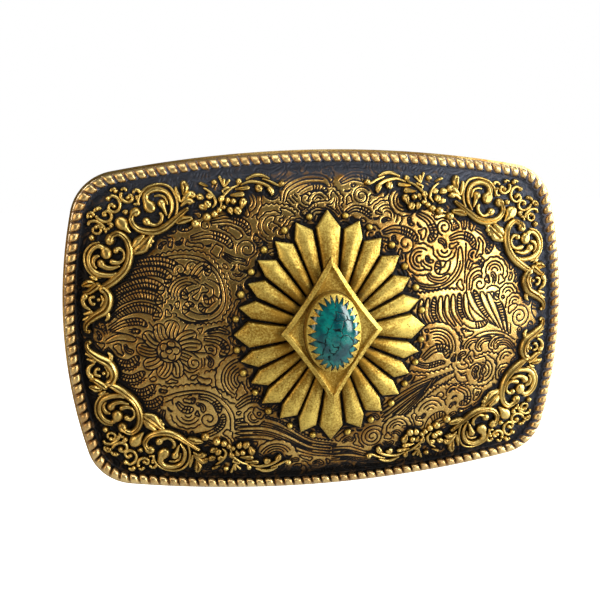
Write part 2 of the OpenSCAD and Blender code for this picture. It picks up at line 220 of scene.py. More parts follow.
def make(name, body, material, rides, nodes, sharp=40, mend=True):
    """Mesh object from a Body, with its material and what it stands for in the frame."""
    mesh = bpy.data.meshes.new(name)
    verts = np.vstack(body.verts) * MM
    mesh.from_pydata(verts.tolist(), [], body.faces)
    layer = mesh.attributes.new("hollow", "FLOAT", "POINT")
    layer.data.foreach_set("value", np.concatenate(body.hollow).astype(np.float32))
    if mend:
        bm = bmesh.new()
        bm.from_mesh(mesh)
        bmesh.ops.remove_doubles(bm, verts=bm.verts, dist=1e-6)
        bmesh.ops.dissolve_degenerate(bm, edges=bm.edges, dist=1e-7)
        bmesh.ops.recalc_face_normals(bm, faces=bm.faces)
        bm.to_mesh(mesh)
        bm.free()
    mesh.shade_smooth()
    mesh.set_sharp_from_angle(angle=math.radians(sharp))
    mesh.materials.append(material)
    obj = bpy.data.objects.new(name, mesh)
    bpy.context.scene.collection.objects.link(obj)
    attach(obj, rides)
    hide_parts(*nodes)
    return obj


# Shading --------------------------------------------------------------------------------


class Shader:
    """A node material, put together from its textures to its surface."""

    def __init__(self, name):
        self.material = bpy.data.materials.new(name)
        self.material.use_nodes = True
        self.tree = self.material.node_tree
        self.tree.nodes.clear()
        self.where = self.node("ShaderNodeTexCoord").outputs["Object"]

    def node(self, kind, inputs=(), **settings):
        made = self.tree.nodes.new(kind)
        for key, value in settings.items():
            setattr(made, key, value)
        for key, value in dict(inputs).items():
            if isinstance(value, bpy.types.NodeSocket):
                self.tree.links.new(value, made.inputs[key])
            else:
                made.inputs[key].default_value = value
        return made

    def noise(self, scale, detail=4.0, roughness=0.55, distortion=0.0):
        inputs = {"Vector": self.where, "Scale": scale, "Detail": detail,
                  "Roughness": roughness, "Distortion": distortion}
        return self.node("ShaderNodeTexNoise", inputs).outputs["Fac"]

    def cells(self, scale, feature="F1", where=None):
        inputs = {"Vector": where or self.where, "Scale": scale}
        return self.node("ShaderNodeTexVoronoi", inputs, feature=feature).outputs["Distance"]

    def vector(self, operation, a, b, output="Vector"):
        inputs = {0: a, 1: b}
        return self.node("ShaderNodeVectorMath", inputs, operation=operation).outputs[output]

    def math(self, operation, a, b=0.0):
        return self.node("ShaderNodeMath", {0: a, 1: b}, operation=operation).outputs[0]

    def range(self, value, low, high, to_low=0.0, to_high=1.0):
        inputs = {"Value": value, "From Min": low, "From Max": high,
                  "To Min": to_low, "To Max": to_high}
        return self.node("ShaderNodeMapRange", inputs,
                         interpolation_type="SMOOTHSTEP").outputs["Result"]

    def mix(self, factor, a, b):
        made = self.node("ShaderNodeMix", {0: factor, 6: a, 7: b}, data_type="RGBA")
        return made.outputs[2]

    def attribute(self, name):
        return self.node("ShaderNodeAttribute", attribute_name=name).outputs["Fac"]

    def bump(self, height, distance, strength=1.0, normal=None):
        inputs = {"Height": height, "Distance": distance, "Strength": strength}
        if normal:
            inputs["Normal"] = normal
        return self.node("ShaderNodeBump", inputs).outputs["Normal"]

    def surface(self, **inputs):
        named = {key.replace("_", " "): value for key, value in inputs.items()}
        shade = self.node("ShaderNodeBsdfPrincipled", named)
        out = self.node("ShaderNodeOutputMaterial")
        self.tree.links.new(shade.outputs[0], out.inputs["Surface"])
        return self.material


def rgb(red, green, blue):
    """A colour given as sRGB from 0 to 255, as linear light."""
    def linear(v):
        v /= 255
        return v / 12.92 if v <= 0.04045 else ((v + 0.055) / 1.055) ** 2.4
    return (linear(red), linear(green), linear(blue), 1.0)


OXIDE = rgb(12, 10, 9)
# Slate tints painted onto the oxide as a reflection of the lit room: one for most brass, a paler one for
# the rope
PAINTED_SLATE_REFLECTION = rgb(74, 78, 88)
PAINTED_ROPE_REFLECTION = rgb(140, 146, 166)


def brass(name, light, dark, oxide_and_shade_range, rough, pits, sandy=0.2, reflection_tint=PAINTED_SLATE_REFLECTION):
    """Antiqued brass: a cloudy patina from dark to light, oxide and painted shade where the hollow
    attribute reaches the range oxide_and_shade_range, and rubbed bright where it stands high. Towards
    the rim, most of all at the top right, the oxide carries a painted slate reflection of the lit room."""
    s = Shader(name)
    # painted reflection: towards the rim, most of all at the top right, the near-black oxide turns slate
    place = s.vector("MULTIPLY", s.where, (1 / HALF_W / MM, 0, 1 / HALF_H / MM))
    outward = s.vector("LENGTH", place, (0, 0, 0), "Value")
    to_top_right = s.vector("DOT_PRODUCT", place, (0.8, 0, 0.9), "Value")
    painted_reflection = s.math("MULTIPLY", s.range(outward, 0.72, 1.1), s.range(to_top_right, -0.45, 0.9))
    oxide_and_reflection = s.mix(painted_reflection, OXIDE, reflection_tint)
    # patina: large clouds, smaller mottling and a share of fine sand
    clouds = s.math("MULTIPLY", s.noise(95, 5), 0.6 - sandy / 2)
    mottle = s.noise(620, 6, 0.62, 0.4)
    tone = s.math("ADD", clouds, s.math("MULTIPLY", mottle, 0.4 - sandy / 2))
    tone = s.math("ADD", tone, s.math("MULTIPLY", s.noise(3000, 2, 0.6), sandy))
    hollow = s.attribute("hollow")
    # the colour darkens where the hollow attribute is high: oxide in the hollows and painted shade round
    # and under raised parts
    tarnish_and_shade = s.math("SUBTRACT", tone, s.math("MULTIPLY", hollow, 0.26))
    colour = s.mix(s.range(tarnish_and_shade, 0.34, 0.6), dark, light)
    # oxide in the hollows and painted shade where the hollow attribute is high, and oxide in scattered
    # pits
    oxide_and_shade_level = s.math("ADD", hollow, s.range(mottle, 0.3, 0.7, -0.16, 0.16))
    speck = s.range(s.cells(1500), 0.1, 0.24, 1, 0)
    speck = s.math("MULTIPLY", speck, s.range(s.noise(260, 3), 0.5, 0.66))
    speck = s.math("MULTIPLY", speck, pits)
    oxide_and_shade_level = s.math("MAXIMUM", s.range(oxide_and_shade_level, *oxide_and_shade_range), speck)
    colour = s.mix(oxide_and_shade_level, colour, oxide_and_reflection)
    polish = s.range(tone, 0.34, 0.66, rough[1], rough[0])
    roughness = s.math("ADD", polish, s.math("MULTIPLY", oxide_and_shade_level, 0.22))
    metallic = s.range(oxide_and_shade_level, 0.3, 1.0, 1.0, 0.3)
    gloss = s.range(oxide_and_shade_level, 0.3, 1.0, 0.5, 0.12)
    sand = s.bump(s.noise(4300, 3, 0.6), 0.00004, 0.45)
    pitted = s.bump(s.math("MULTIPLY", speck, -1), 0.00006, 0.6, sand)
    dented = s.bump(mottle, 0.00012, 0.3, pitted)
    return s.surface(Base_Color=colour, Metallic=metallic, Roughness=roughness,
                     Specular_IOR_Level=gloss, Normal=dented)


def turquoise():
    """Deep teal stone with a dark web of matrix under a glossy polish."""
    s = Shader("polished_turquoise")
    drift = s.noise(420, 4)
    ripple = s.node("ShaderNodeTexNoise", {"Vector": s.where, "Scale": 700, "Detail": 4})
    shift = s.node("ShaderNodeVectorMath", {0: ripple.outputs["Color"], "Scale": 0.0013},
                   operation="SCALE").outputs[0]
    bent = s.vector("ADD", s.where, shift)
    web = s.range(s.cells(520, "DISTANCE_TO_EDGE", bent), 0.015, 0.085, 1, 0)
    web = s.math("MULTIPLY", web, s.range(s.noise(380, 3), 0.44, 0.56))
    hair = s.range(s.cells(1150, "DISTANCE_TO_EDGE", bent), 0.0, 0.05, 0.5, 0)
    hair = s.math("MULTIPLY", hair, s.range(s.noise(900, 3), 0.45, 0.6))
    body = s.mix(s.range(drift, 0.35, 0.65), rgb(0, 54, 60), rgb(0, 104, 96))
    pale = s.range(s.noise(800, 5, 0.65), 0.55, 0.72)
    body = s.mix(s.math("MULTIPLY", pale, 0.4), body, rgb(44, 104, 90))
    matrix = s.math("MAXIMUM", web, hair)
    colour = s.mix(matrix, body, rgb(5, 14, 18))
    # painted shadow, with some dirt, darkens the stone's edge under the teeth
    edge = s.attribute("hollow")
    colour = s.mix(edge, colour, rgb(6, 22, 26))
    gloss = s.range(s.math("MAXIMUM", edge, matrix), 0, 1, 0.5, 0.08)
    rough = s.range(matrix, 0, 1, 0.12, 0.34)
    flaw = s.bump(s.math("MULTIPLY", matrix, -1), 0.00003, 0.5)
    return s.surface(Base_Color=colour, Roughness=rough, Normal=flaw, IOR=1.5,
                     Specular_IOR_Level=gloss)


def pitch():
    """Dull filler under the stone."""
    s = Shader("setting_pitch")
    colour = s.mix(s.noise(900, 5), rgb(30, 24, 20), rgb(58, 48, 40))
    return s.surface(Base_Color=colour, Roughness=0.8, Normal=s.bump(s.noise(1500), 0.0001))


ENGRAVED = brass("engraved_plate_brass", rgb(194, 161, 93), rgb(128, 89, 38),
                 oxide_and_shade_range=(0.2, 0.66), rough=(0.23, 0.38), pits=0.25, sandy=0.34)
ROPE = brass("rope_border_brass", rgb(216, 186, 124), rgb(158, 118, 70),
             oxide_and_shade_range=(0.24, 0.8), rough=(0.3, 0.46), pits=0.4, reflection_tint=PAINTED_ROPE_REFLECTION)
SCROLL = brass("cast_scroll_brass", rgb(209, 179, 102), rgb(132, 101, 46),
               oxide_and_shade_range=(0.4, 0.95), rough=(0.28, 0.42), pits=0.25)
BRIGHT = brass("sunburst_brass", rgb(210, 184, 94), rgb(130, 96, 32),
               oxide_and_shade_range=(0.42, 1.0), rough=(0.48, 0.6), pits=1.0, sandy=0.42)
FITTING = brass("fitting_brass", rgb(186, 150, 86), rgb(126, 94, 48),
                oxide_and_shade_range=(0.5, 1.0), rough=(0.26, 0.44), pits=0.4)
WIRE = brass("drawn_wire_brass", rgb(206, 172, 100), rgb(140, 106, 54),
             oxide_and_shade_range=(0.5, 1.0), rough=(0.2, 0.36), pits=0.3)

# Engraving, drawn on a fine raster and then cut into the plate ---------------------------

CELL = 0.06
GROOVE_DEPTH = 0.17
CHANNEL_DEPTH = 0.25
COLS = int(2 * HALF_W / CELL) + 1
ROWS = int(2 * HALF_H / CELL) + 1
GROOVE_R = 0.165
STROKE_STEP = 0.05
LINE_GAP = 0.6
LADDER_GAP = 0.56
cuts = np.zeros((ROWS, COLS))
# where applied pieces stand; blurred, it paints shade on the ground round them
footprint = np.zeros((ROWS, COLS))


def stamp(points, radius):
    """Presses round V-shaped dabs of that radius into the engraving at the points."""
    reach = math.ceil(radius / CELL) + 1
    col = np.rint((points[:, 0] + HALF_W) / CELL).astype(int)
    row = np.rint((points[:, 1] + HALF_H) / CELL).astype(int)
    for dr in range(-reach, reach + 1):
        for dc in range(-reach, reach + 1):
            r, c = row + dr, col + dc
            away = np.hypot(c * CELL - HALF_W - points[:, 0], r * CELL - HALF_H - points[:, 1])
            hit = (away < radius) & (r >= 0) & (r < ROWS) & (c >= 0) & (c < COLS)
            np.maximum.at(cuts, (r[hit], c[hit]), smooth(1.0, 0.4, away[hit] / radius))


def blot(layer, points, radius, value):
    """Fills discs of the layer, each with its own radius, with a value."""
    for (x, z), r in zip(points, np.broadcast_to(radius, (len(points),))):
        c0, c1 = (max(int((x + s * r + HALF_W) / CELL), 0) for s in (-1, 1))
        r0, r1 = (max(int((z + s * r + HALF_H) / CELL), 0) for s in (-1, 1))
        window = layer[r0 : r1 + 1, c0 : c1 + 1]
        dz = np.arange(r0, r0 + window.shape[0]) * CELL - HALF_H - z
        dx = np.arange(c0, c0 + window.shape[1]) * CELL - HALF_W - x
        window[dz[:, None] ** 2 + dx**2 < r * r] = value


def groove(points, start=0.0, stop=1.0):
    """Cuts a V along a dense line of points, or along a share of it."""
    n = len(points)
    part = points[int(start * n) : max(int(stop * n), 2)]
    if len(part) > 1:
        count = max(2, math.ceil(run_length(part)[-1] / STROKE_STEP))
        stamp(evenly(part, count), GROOVE_R)


def ring(centre, radius, start, stop):
    a = np.radians(np.linspace(start, stop, max(6, int(abs(stop - start) * radius / 4))))
    return np.asarray(centre) + radius * np.column_stack([np.cos(a), np.sin(a)])


def line(*points):
    groove(curve(points, STROKE_STEP)[0])


def plume(points, w0, w1, ribs=1, hatch=0.0, side=1):
    """Leaf along a curve, w0 wide at its root and w1 at its tip: two edges that meet at its
    ends, ribs that run with them from the root, and a ladder of short strokes along one
    edge, over the share of its length that hatch gives."""
    spine, _ = curve(points, 0.08)
    along = run_length(spine)
    t = along / along[-1]
    half = 0.5 * (w0 + (w1 - w0) * t) * np.sqrt(1 - t**5) * smooth(-0.25, 0.12, t)
    across = sideways(spine)
    blot(cuts, spine[::3], half[::3] + GROOVE_R, 0)
    for s in (-1, 1):
        groove(spine + across * (s * half)[:, None])
    count = max(ribs, int(2 * half.max() / LINE_GAP) - 1) if ribs else 0
    # the ladder takes up this much of the width, counted as 2 from edge to edge
    band = 2 * min(0.8 / half.max(), 1)
    farthest = 0 if side > 0 else count - 1
    for k in range(count):
        share = 2 * (k + 1) / (count + 1) - 1
        inside_ladder = share * side > 1.02 - band and k != farthest
        if hatch and inside_ladder and abs(share * side - (1 - band)) > 1 / (count + 1):
            continue
        open_from = np.argmax(half * 2 / (count + 1) > 0.3) / len(spine)
        groove(spine + across * (share * half)[:, None], open_from, 0.84 + 0.08 * (k % 2))
    if hatch:
        inner = max(1 - band, -0.9) * side
        for s in np.arange(along[-1] * (0.97 - hatch), along[-1] * 0.97, LADDER_GAP):
            i = int(np.searchsorted(along, s))
            lead = min(i + 4, len(spine) - 1)
            a = spine[i] + across[i] * half[i] * inner
            b = spine[lead] + across[lead] * half[lead] * side * 0.94
            groove(np.array([a, (a + b) / 2, b]))


def shell(centre, r0, r1, start, stop, count):
    """Fan of arcs like the lines of a scallop, inside a plain band and a jagged border."""
    centre = np.asarray(centre, float)
    blot(cuts, centre[None], r1 + 0.1, 0)
    border = ring(centre, r1, start, stop)
    turn = np.radians(np.linspace(start, stop, len(border)))
    jag = 0.2 * np.abs(np.sin(turn * r1 * 2.1)) if r1 > 1.6 else 0 * turn
    groove(centre + (border - centre) * (1 + jag / r1)[:, None])
    band = 0.45 + 0.12 * r1
    inner = r1 - band
    count = max(2, min(count, int((inner - r0) / LINE_GAP) + 1))
    lean = ring((0, 0), 0.3 * r0, (start + stop) / 2, (start + stop) / 2 + 1)[0]
    for k, radius in enumerate(np.linspace(min(r0, inner * 0.6), inner, count)):
        trim = (stop - start) * (0.04 + 0.06 * (k % 2) + 0.1 * (1 - k / (count - 1)))
        groove(ring(centre + lean * (1 - radius / r1), radius, start + trim, stop - trim))


def curl(centre, radius, start, turns):
    """Spiral that winds in from the radius to a small eye; negative turns run clockwise."""
    eye = 0.35
    steps = 90
    blot(cuts, [centre], radius, 0)
    a = np.radians(start + 360 * turns * np.linspace(0, 1, steps))
    r = np.linspace(radius, eye, steps)
    groove(np.asarray(centre) + np.column_stack([r * np.cos(a), r * np.sin(a)]))


def fringe(a, b, length, angle):
    """Row of short strokes from a to b, all at one angle."""
    gap = 0.55
    a, b = np.asarray(a, float), np.asarray(b, float)
    count = max(2, int(np.linalg.norm(b - a) / gap))
    lean = np.array([math.cos(math.radians(angle)), math.sin(math.radians(angle))])
    for t in np.linspace(0, 1, count):
        foot = a + (b - a) * t
        reach = length * (0.75 + 0.25 * math.sin(3.1 * t))
        groove(np.array([foot, foot + lean * reach / 2, foot + lean * reach]))


def scallops(points, size):
    """Wavy border line."""
    spine, _ = curve(points, 0.08)
    wave = np.sin(run_length(spine) * math.pi / (0.8 * size))
    groove(spine + sideways(spine) * (0.34 * np.abs(wave))[:, None])


def engrave_left():
    # border of the great scroll and the leaves that fan out from the left end
    scallops([(-34.5, 13.6), (-31, 14.6), (-27, 15.3), (-22.5, 14.6), (-19.6, 11), (-18.5, 6),
              (-20.3, 3)], 1.3)
    line((-32, 14), (-27, 14.7), (-22.6, 13.8), (-19.9, 10.5), (-19.3, 6), (-21, 3.3), (-25, 2.4),
         (-28.5, 3.6))
    line((-31, 13.4), (-27, 14.1), (-23, 13.2), (-20.5, 10.3), (-20, 6.2), (-21.6, 4), (-25, 3))
    plume([(-39.2, 12.5), (-35, 13.4), (-30.5, 13.6), (-27.4, 12.3), (-27.6, 11.4)], 0.8, 2.3, 1, 0.8, -1)
    plume([(-40, 9.6), (-36, 11.2), (-32, 11.9), (-29.4, 10.9), (-29.9, 9.6)], 0.9, 2.4, 1, 0.8, -1)
    plume([(-40.6, 7), (-37.2, 8.9), (-33.6, 9.8), (-30.9, 8.9), (-31.1, 7.6)], 0.9, 2.4, 1, 0.8, -1)
    plume([(-40.8, 4.4), (-38, 6.6), (-34.6, 7.8), (-31.4, 7), (-31.5, 5.8)], 0.9, 2.5, 1, 0.8, -1)
    plume([(-40.8, 2.2), (-38, 4.4), (-34.8, 5.4), (-31.7, 4.5), (-32.2, 2.8)], 0.9, 2.7, 2, 0.8, -1)
    plume([(-40.5, 1), (-37.8, 2.4), (-35, 2.7), (-33.6, 1.8)], 0.7, 1.8, 1, 0.5, -1)
    plume([(-40, 0.4), (-38.2, 0.1), (-36, -0.5)], 0.9, 1.2, 0)
    plume([(-41.2, -1), (-38.6, -0.1), (-35.7, -0.7)], 0.8, 1.7, 0)
    # laddered leaves that hang down the left end, one under another
    hanging = (
        ((-41.2, -2.2), (-39.8, -4.4), (-37.4, -5.2), (-35.4, -3.8)),
        ((-40.8, -5.4), (-39.2, -7.4), (-36.8, -8.1), (-34.5, -6.8)),
        ((-39.4, -8.8), (-37.4, -10.4), (-35, -10.8), (-32.8, -9.4)),
        ((-37, -12.1), (-35, -13.2), (-33, -13), (-31.6, -11.7)),
    )
    for path in hanging:
        plume(path, 0.9, 2.0, 1, 0.85, 1)
        scallops([(x + 0.3, z - 1.45) for x, z in path], 0.9)
    # eye of the great scroll with its leaves
    for radius in np.arange(0.8, 3.8, 0.55):
        groove(ring((-26, 7.4), radius, 20 + 8 * radius, 215 - 8 * radius))
    plume([(-24.2, 9), (-25.6, 8.6), (-26.6, 7.5), (-26, 6.6)], 1, 1.4, 0, 0.5)
    curl((-27.2, 12), 1.25, 200, -1.2)
    curl((-24.9, 12.4), 1.2, 200, -1.2)
    plume([(-25.2, 10.6), (-23.4, 12.6), (-22.2, 12.2), (-22.4, 10.8)], 1.2, 1.6, 1, 0.45)
    plume([(-22.6, 9.9), (-20.9, 8.8), (-20.9, 7), (-22.4, 6.2), (-23, 7.4)], 1.1, 1.4, 0, 0.45, 1)
    plume([(-20.8, 5.8), (-22.2, 4.6), (-23.6, 4.9), (-23.8, 6)], 1.1, 1.2, 0, 0.45, 1)
    plume([(-22.6, 3.3), (-24.6, 3.4), (-26.4, 4.4), (-26, 5.7), (-24.9, 5.5)], 1.1, 1.5, 0, 0.42, 1)
    scallops([(-28.8, 4.2), (-27, 2.4), (-23, 1.9), (-19.5, 2.4)], 1.2)
    scallops([(-30.6, 5.4), (-29.2, 7.4), (-29.4, 9.6), (-27.4, 10.9), (-23.6, 10.4)], 1.2)


def engrave_flower():
    centre = np.array([-29.8, -2.8])
    petals = (
        (78, 5.7, 3.4, 2), (32, 5.9, 2.7, 1), (8, 6, 2.8, 2), (-38, 6.2, 4, 2),
        (-76, 5.4, 2.6, 1), (-112, 5.5, 3, 1), (-150, 5.6, 2.8, 2), (172, 6, 2.9, 1),
        (140, 5.6, 2.8, 1), (108, 5.4, 2.6, 1),
    )
    for angle, reach, width, ribs in petals:
        a = math.radians(angle)
        out = np.array([math.cos(a), math.sin(a)])
        bend = np.array([-out[1], out[0]]) * 0.5
        path = [centre + out * 1.7, centre + out * (1 + reach) / 2 + bend, centre + out * reach]
        plume(path, width * 0.7, width, ribs)
    for angle in (55, -5, -60, -130, 155, 122):
        a = math.radians(angle)
        out = np.array([math.cos(a), math.sin(a)])
        groove(np.array([centre + out * 4.6, centre + out * 5.6, centre + out * 6.4]))
    curl((-25.4, -5.3), 1.3, 120, 1.4)
    blot(cuts, centre[None], 2.3, 0)
    groove(ring(centre, 2.25, 0, 360))
    for k in range(5):
        a = 72 * k
        petal = centre + ring((0, 0), 1.15, a, a + 1)[0]
        groove(ring(petal, 0.75, a - 120, a + 120))
    curl(centre, 0.8, 40, 1.3)
    plume([(-23.4, -0.6), (-21, -1), (-19.6, -2.6), (-20.6, -4.2)], 0.9, 1.9, 1, 0.5, -1)
    plume([(-22.8, 0.6), (-20.6, 0.9), (-18.8, 0.2)], 0.8, 1.2, 1)
    scallops([(-23.4, 0.2), (-21, 1.1), (-18.6, 1.4)], 1.1)
    scallops([(-23.6, -7.2), (-21.4, -6.6), (-20, -5.2), (-18, -4.6)], 1.2)


def engrave_lower_left():
    shell((-16.4, -8.6), 1, 5.2, 95, 250, 7)
    plume([(-24.8, -8.2), (-23.6, -9), (-22.4, -8.6)], 0.9, 1.6, 0)
    scallops([(-32.6, -9.4), (-30, -10), (-25, -9.5), (-21.4, -10.6), (-18.6, -12.4)], 1.3)
    line((-31.4, -11.8), (-28, -10.8), (-24, -10.7), (-20.8, -12.4), (-18.6, -15.6), (-18.4, -19))
    line((-31, -12.8), (-27.6, -11.5), (-24, -11.4), (-21.4, -13), (-19.4, -15.8), (-19.2, -19))
    curl((-28.9, -12.9), 1.15, 90, 0.9)
    curl((-26.2, -12.7), 1.15, 90, 0.9)
    plume([(-24.9, -11.9), (-23.2, -12.2), (-21.6, -13.6), (-21.2, -15.4)], 0.9, 1.7, 1, 0.45, 1)
    shell((-27, -15.2), 0.7, 3.1, 185, 355, 5)
    curl((-23.2, -16.6), 1.9, 30, -1.5)
    plume([(-31.6, -14.4), (-32, -17), (-30, -19.2), (-27.4, -19.4)], 0.9, 2, 1, 0.5, 1)
    plume([(-25.8, -20), (-23, -19.6), (-21, -18), (-20.4, -15.6)], 0.8, 1.7, 1, 0.5, -1)
    # long feathers that stream from the middle of the lower edge
    for k in range(5):
        d = 0.95 * k
        plume([(1.4, -23.8 - 0.7 * d), (-4, -22.4 - 0.75 * d), (-9, -19 - 0.95 * d), (-13, -17.2 - d),
               (-18.4, -17 - d)], 0.4, 1.25, k % 2)
    scallops([(-17.4, -17), (-13, -16.6), (-9, -18.2), (-4, -21.6), (0.6, -23)], 0.9)
    shell((-10.6, -26), 1.4, 4.2, 15, 165, 5)
    plume([(-18, -14.4), (-15.6, -12.8), (-13.6, -13), (-12.8, -14.6)], 0.9, 1.8, 1, 0.5, 1)
    shell((-14.6, -16.4), 0.7, 1.9, 100, 330, 3)


def engrave_right():
    # great scroll over the right of the sunburst
    shell((17.6, 12.4), 0.7, 2.9, 40, 300, 5)
    curl((14.8, 15.4), 1.8, 250, 1.3)
    plume([(15.6, 9.4), (17, 7.6), (20.4, 6.9), (23.6, 8), (25.6, 10.6), (25.9, 14.4)], 0.7, 1.7, 1)
    plume([(19, 9.6), (19.8, 8.6), (21.8, 8.2), (23.6, 9.2)], 0.8, 1.4, 1)
    plume([(23.4, 11.8), (22.6, 10.2), (21.2, 10.2), (21.2, 11.9)], 0.9, 1.7, 0, 0.45, 1)
    shell((22.6, 14.2), 0.7, 2.3, 170, 360, 4)
    line((26.6, 7.4), (26.9, 11), (27.2, 15))
    scallops([(15.6, 6.1), (19, 6), (22, 6.4), (25.2, 6.2)], 1.1)
    # bowed blades, and a sheaf that runs down to the right
    for k in range(8):
        foot, middle = (18.7 + 1.5 * k, -0.6 - 0.06 * k), (17.3 + 1.42 * k, 1.9)
        plume([foot, middle, (17.7 + 1.3 * k, 4.9 + 0.1 * k)], 0.5, 1.35, 0, 0.85 * (k % 4 == 2))
    for k in range(6):
        foot, middle = (33 + 0.8 * k, -1 - 0.5 * k), (29 + 1.45 * k, 2.4 - 0.2 * k)
        plume([foot, middle, (27.2 + 1.5 * k, 6.2 - 0.3 * k)], 0.5, 1.6, 0, 0.7 * (k % 3 == 1))
    plume([(27.6, 6), (28, 8.6), (29.8, 9.6), (31, 8.4)], 1.1, 1.9, 1)
    curl((30, 7), 1.5, 150, -1.4)
    plume([(27.4, 10), (28.2, 11.6), (30, 11.6), (31, 10.4)], 1, 1.9, 1, 0.45, -1)
    shell((33.3, 9.2), 0.7, 2.8, -30, 200, 5)
    plume([(31.6, 5.6), (33, 5.9), (34, 5), (33.6, 3.6)], 1, 1.9, 0, 0.45, 1)
    shell((36.4, 4.6), 0.6, 2, 0, 190, 3)
    shell((38, 2.6), 0.6, 2, 20, 200, 3)
    curl((39.2, -0.2), 2.4, 100, -2.1)
    plume([(26.8, 0), (28.4, -0.9), (30.4, -1), (31.8, -0.4)], 1.3, 1.5, 0, 0.5, -1)


def engrave_lower_right():
    shell((20.6, -5.2), 1, 5.3, -25, 120, 8)
    scallops([(15.4, -9.3), (19, -9.9), (23.6, -9.1), (26, -6.6), (26.4, -3.4), (24.6, -1.2)], 1.3)
    plume([(18, -6.9), (20.2, -5.2), (22.6, -5.2), (23.4, -7.2)], 1, 2, 1, 0.5, -1)
    plume([(16.4, -7.6), (19, -8.4), (21.6, -8), (22.8, -8)], 0.7, 1.4, 1, 0.5, 1)
    # scroll with three curling tips
    line((26.4, -5.6), (28, -3.9), (31, -2.6), (35, -2.9), (38.4, -4.9))
    line((26.9, -6.4), (28.8, -4.5), (31.4, -3.3), (35, -3.6), (38.4, -5.8))
    for x in (27.6, 30.2, 33.2):
        plume([(x + 2.6, -4), (x + 0.6, -4.2), (x - 0.4, -5.4), (x + 0.4, -6.4)], 0.8, 1.5, 1)
    plume([(38.6, -7.2), (36.6, -5.2), (34.4, -5), (33.8, -6.4)], 0.9, 1.9, 2)
    shell((36.6, -8.8), 0.7, 2.2, 20, 200, 4)
    scallops([(27, -7.4), (29.6, -7.6), (32, -7), (34.6, -7.6)], 1.2)
    shell((26.8, -8.2), 0.6, 2.4, 185, 355, 4)
    plume([(25.4, -10.4), (26.4, -11.8), (28.4, -11.6), (29, -10)], 1, 1.9, 0, 0.45, -1)
    shell((31, -10.6), 0.8, 3.2, -80, 70, 5)
    shell((36.2, -11.6), 0.6, 1.8, 60, 260, 3)
    # feathers that stream down to the left
    for k in range(6):
        d = 0.95 * k
        plume([(24.8 - 0.9 * d, -10.1 - 0.2 * d), (20.8 - 0.4 * d, -11.2 - 0.5 * d),
               (16.2 - 0.1 * d, -12.8 - 0.85 * d), (9.6 + 0.3 * d, -16.6 - d)], 0.4, 1.25, k % 2)
    scallops([(25, -11), (20.4, -13.6), (16, -17.4), (12.6, -20.6)], 0.9)
    scallops([(18.4, -14), (21, -12.9), (24, -12.9), (27.2, -13.3), (31.6, -14.2)], 1.2)
    curl((22.4, -15), 1.6, 60, -1.4)
    shell((25, -14.6), 0.6, 1.5, 20, 200, 3)
    plume([(26, -13.6), (28, -14.8), (28.2, -16.8), (26.6, -17.4)], 1, 1.9, 1, 0.45, 1)
    shell((20.4, -18.4), 0.8, 3.4, 20, 175, 5)
    curl((8.6, -22.6), 2.6, 20, 2.8)
    shell((13.6, -21.4), 0.8, 3, 10, 200, 4)
    for k in range(4):
        d = 0.9 * k
        plume([(0.6, -24.6 - d), (4, -24.9 - 0.9 * d), (8, -26.6 - 0.6 * d), (12.6, -26.4 - 0.7 * d)],
              0.5, 1.2, k % 2)


def engrave_top():
    # leaf over the top of the sunburst, with its comb and two curls
    plume([(-8, 23.8), (-7.2, 26), (-4, 27.6), (-0.4, 27.6), (1, 26.2)], 1.2, 1.8, 1)
    fringe((-7.4, 24), (-2.6, 27), 1.6, -48)
    curl((-3.6, 24.2), 1.7, 150, -1.7)
    plume([(-5, 25), (-3, 26), (-0.8, 26.2), (0.4, 25.2)], 0.8, 1.4, 0, 0.5, 1)
    shell((-1.4, 23.6), 0.6, 1.8, 10, 180, 3)
    scallops([(-12.8, 20.6), (-12, 22.8), (-10, 23.2), (-7, 22.8), (-5.4, 21.6)], 1.2)
    shell((-10, 19.4), 0.7, 2.6, 60, 260, 5)
    shell((-15, 24), 0.8, 3, -70, 70, 5)
    plume([(-21.4, 20.6), (-18, 20.9), (-15.2, 19.8), (-14.4, 17.8)], 0.9, 1.9, 1, 0.5, -1)
    curl((-15, 15.4), 1.9, 200, -1.5)
    plume([(-25, 17.6), (-21.6, 18.2), (-18.8, 17.2), (-17.6, 15.6)], 0.9, 2.1, 1, 0.5, -1)
    plume([(-19.4, 14.6), (-17.4, 13.4), (-15.2, 13)], 0.9, 1.8, 2)
    shell((-16.8, 11.6), 0.6, 1.7, 190, 340, 3)
    curl((-22.2, 19.8), 1.1, 0, 1.2)
    # the right of the top
    scallops([(1.6, 29), (1.3, 26.6), (3, 24.4), (2.6, 22.4)], 1.2)
    plume([(3, 27), (5.6, 28), (8.6, 27.2), (9.8, 25)], 0.9, 2, 1, 0.5, -1)
    curl((6.8, 24.4), 1.8, 30, 1.7)
    plume([(3.6, 21.4), (5.4, 22.2), (7.4, 21.6), (8.8, 20.2)], 0.8, 1.6, 1, 0.5, 1)
    shell((11.4, 20.6), 0.8, 2.8, -40, 150, 5)
    plume([(10.4, 17.6), (12.8, 18.2), (15.6, 17.4), (17.2, 15.8)], 0.9, 2, 1, 0.5, -1)
    shell((15, 23.4), 0.7, 2.8, 100, 300, 5)
    plume([(17.4, 21), (19.6, 19.6), (20.6, 17.2), (19.4, 15.6)], 0.9, 2.1, 1, 0.5, 1)
    curl((22.8, 18.2), 1.6, 250, -1.5)
    plume([(23.8, 16), (26.2, 16.6), (28.2, 15.8), (29, 14)], 0.9, 2, 1, 0.5, -1)
    plume([(29.4, 17.8), (31.4, 16.6), (32.4, 14.6), (31.6, 12.8)], 0.9, 2, 1, 0.5, 1)
    shell((28.8, 12.6), 0.5, 1.2, 60, 260, 2)


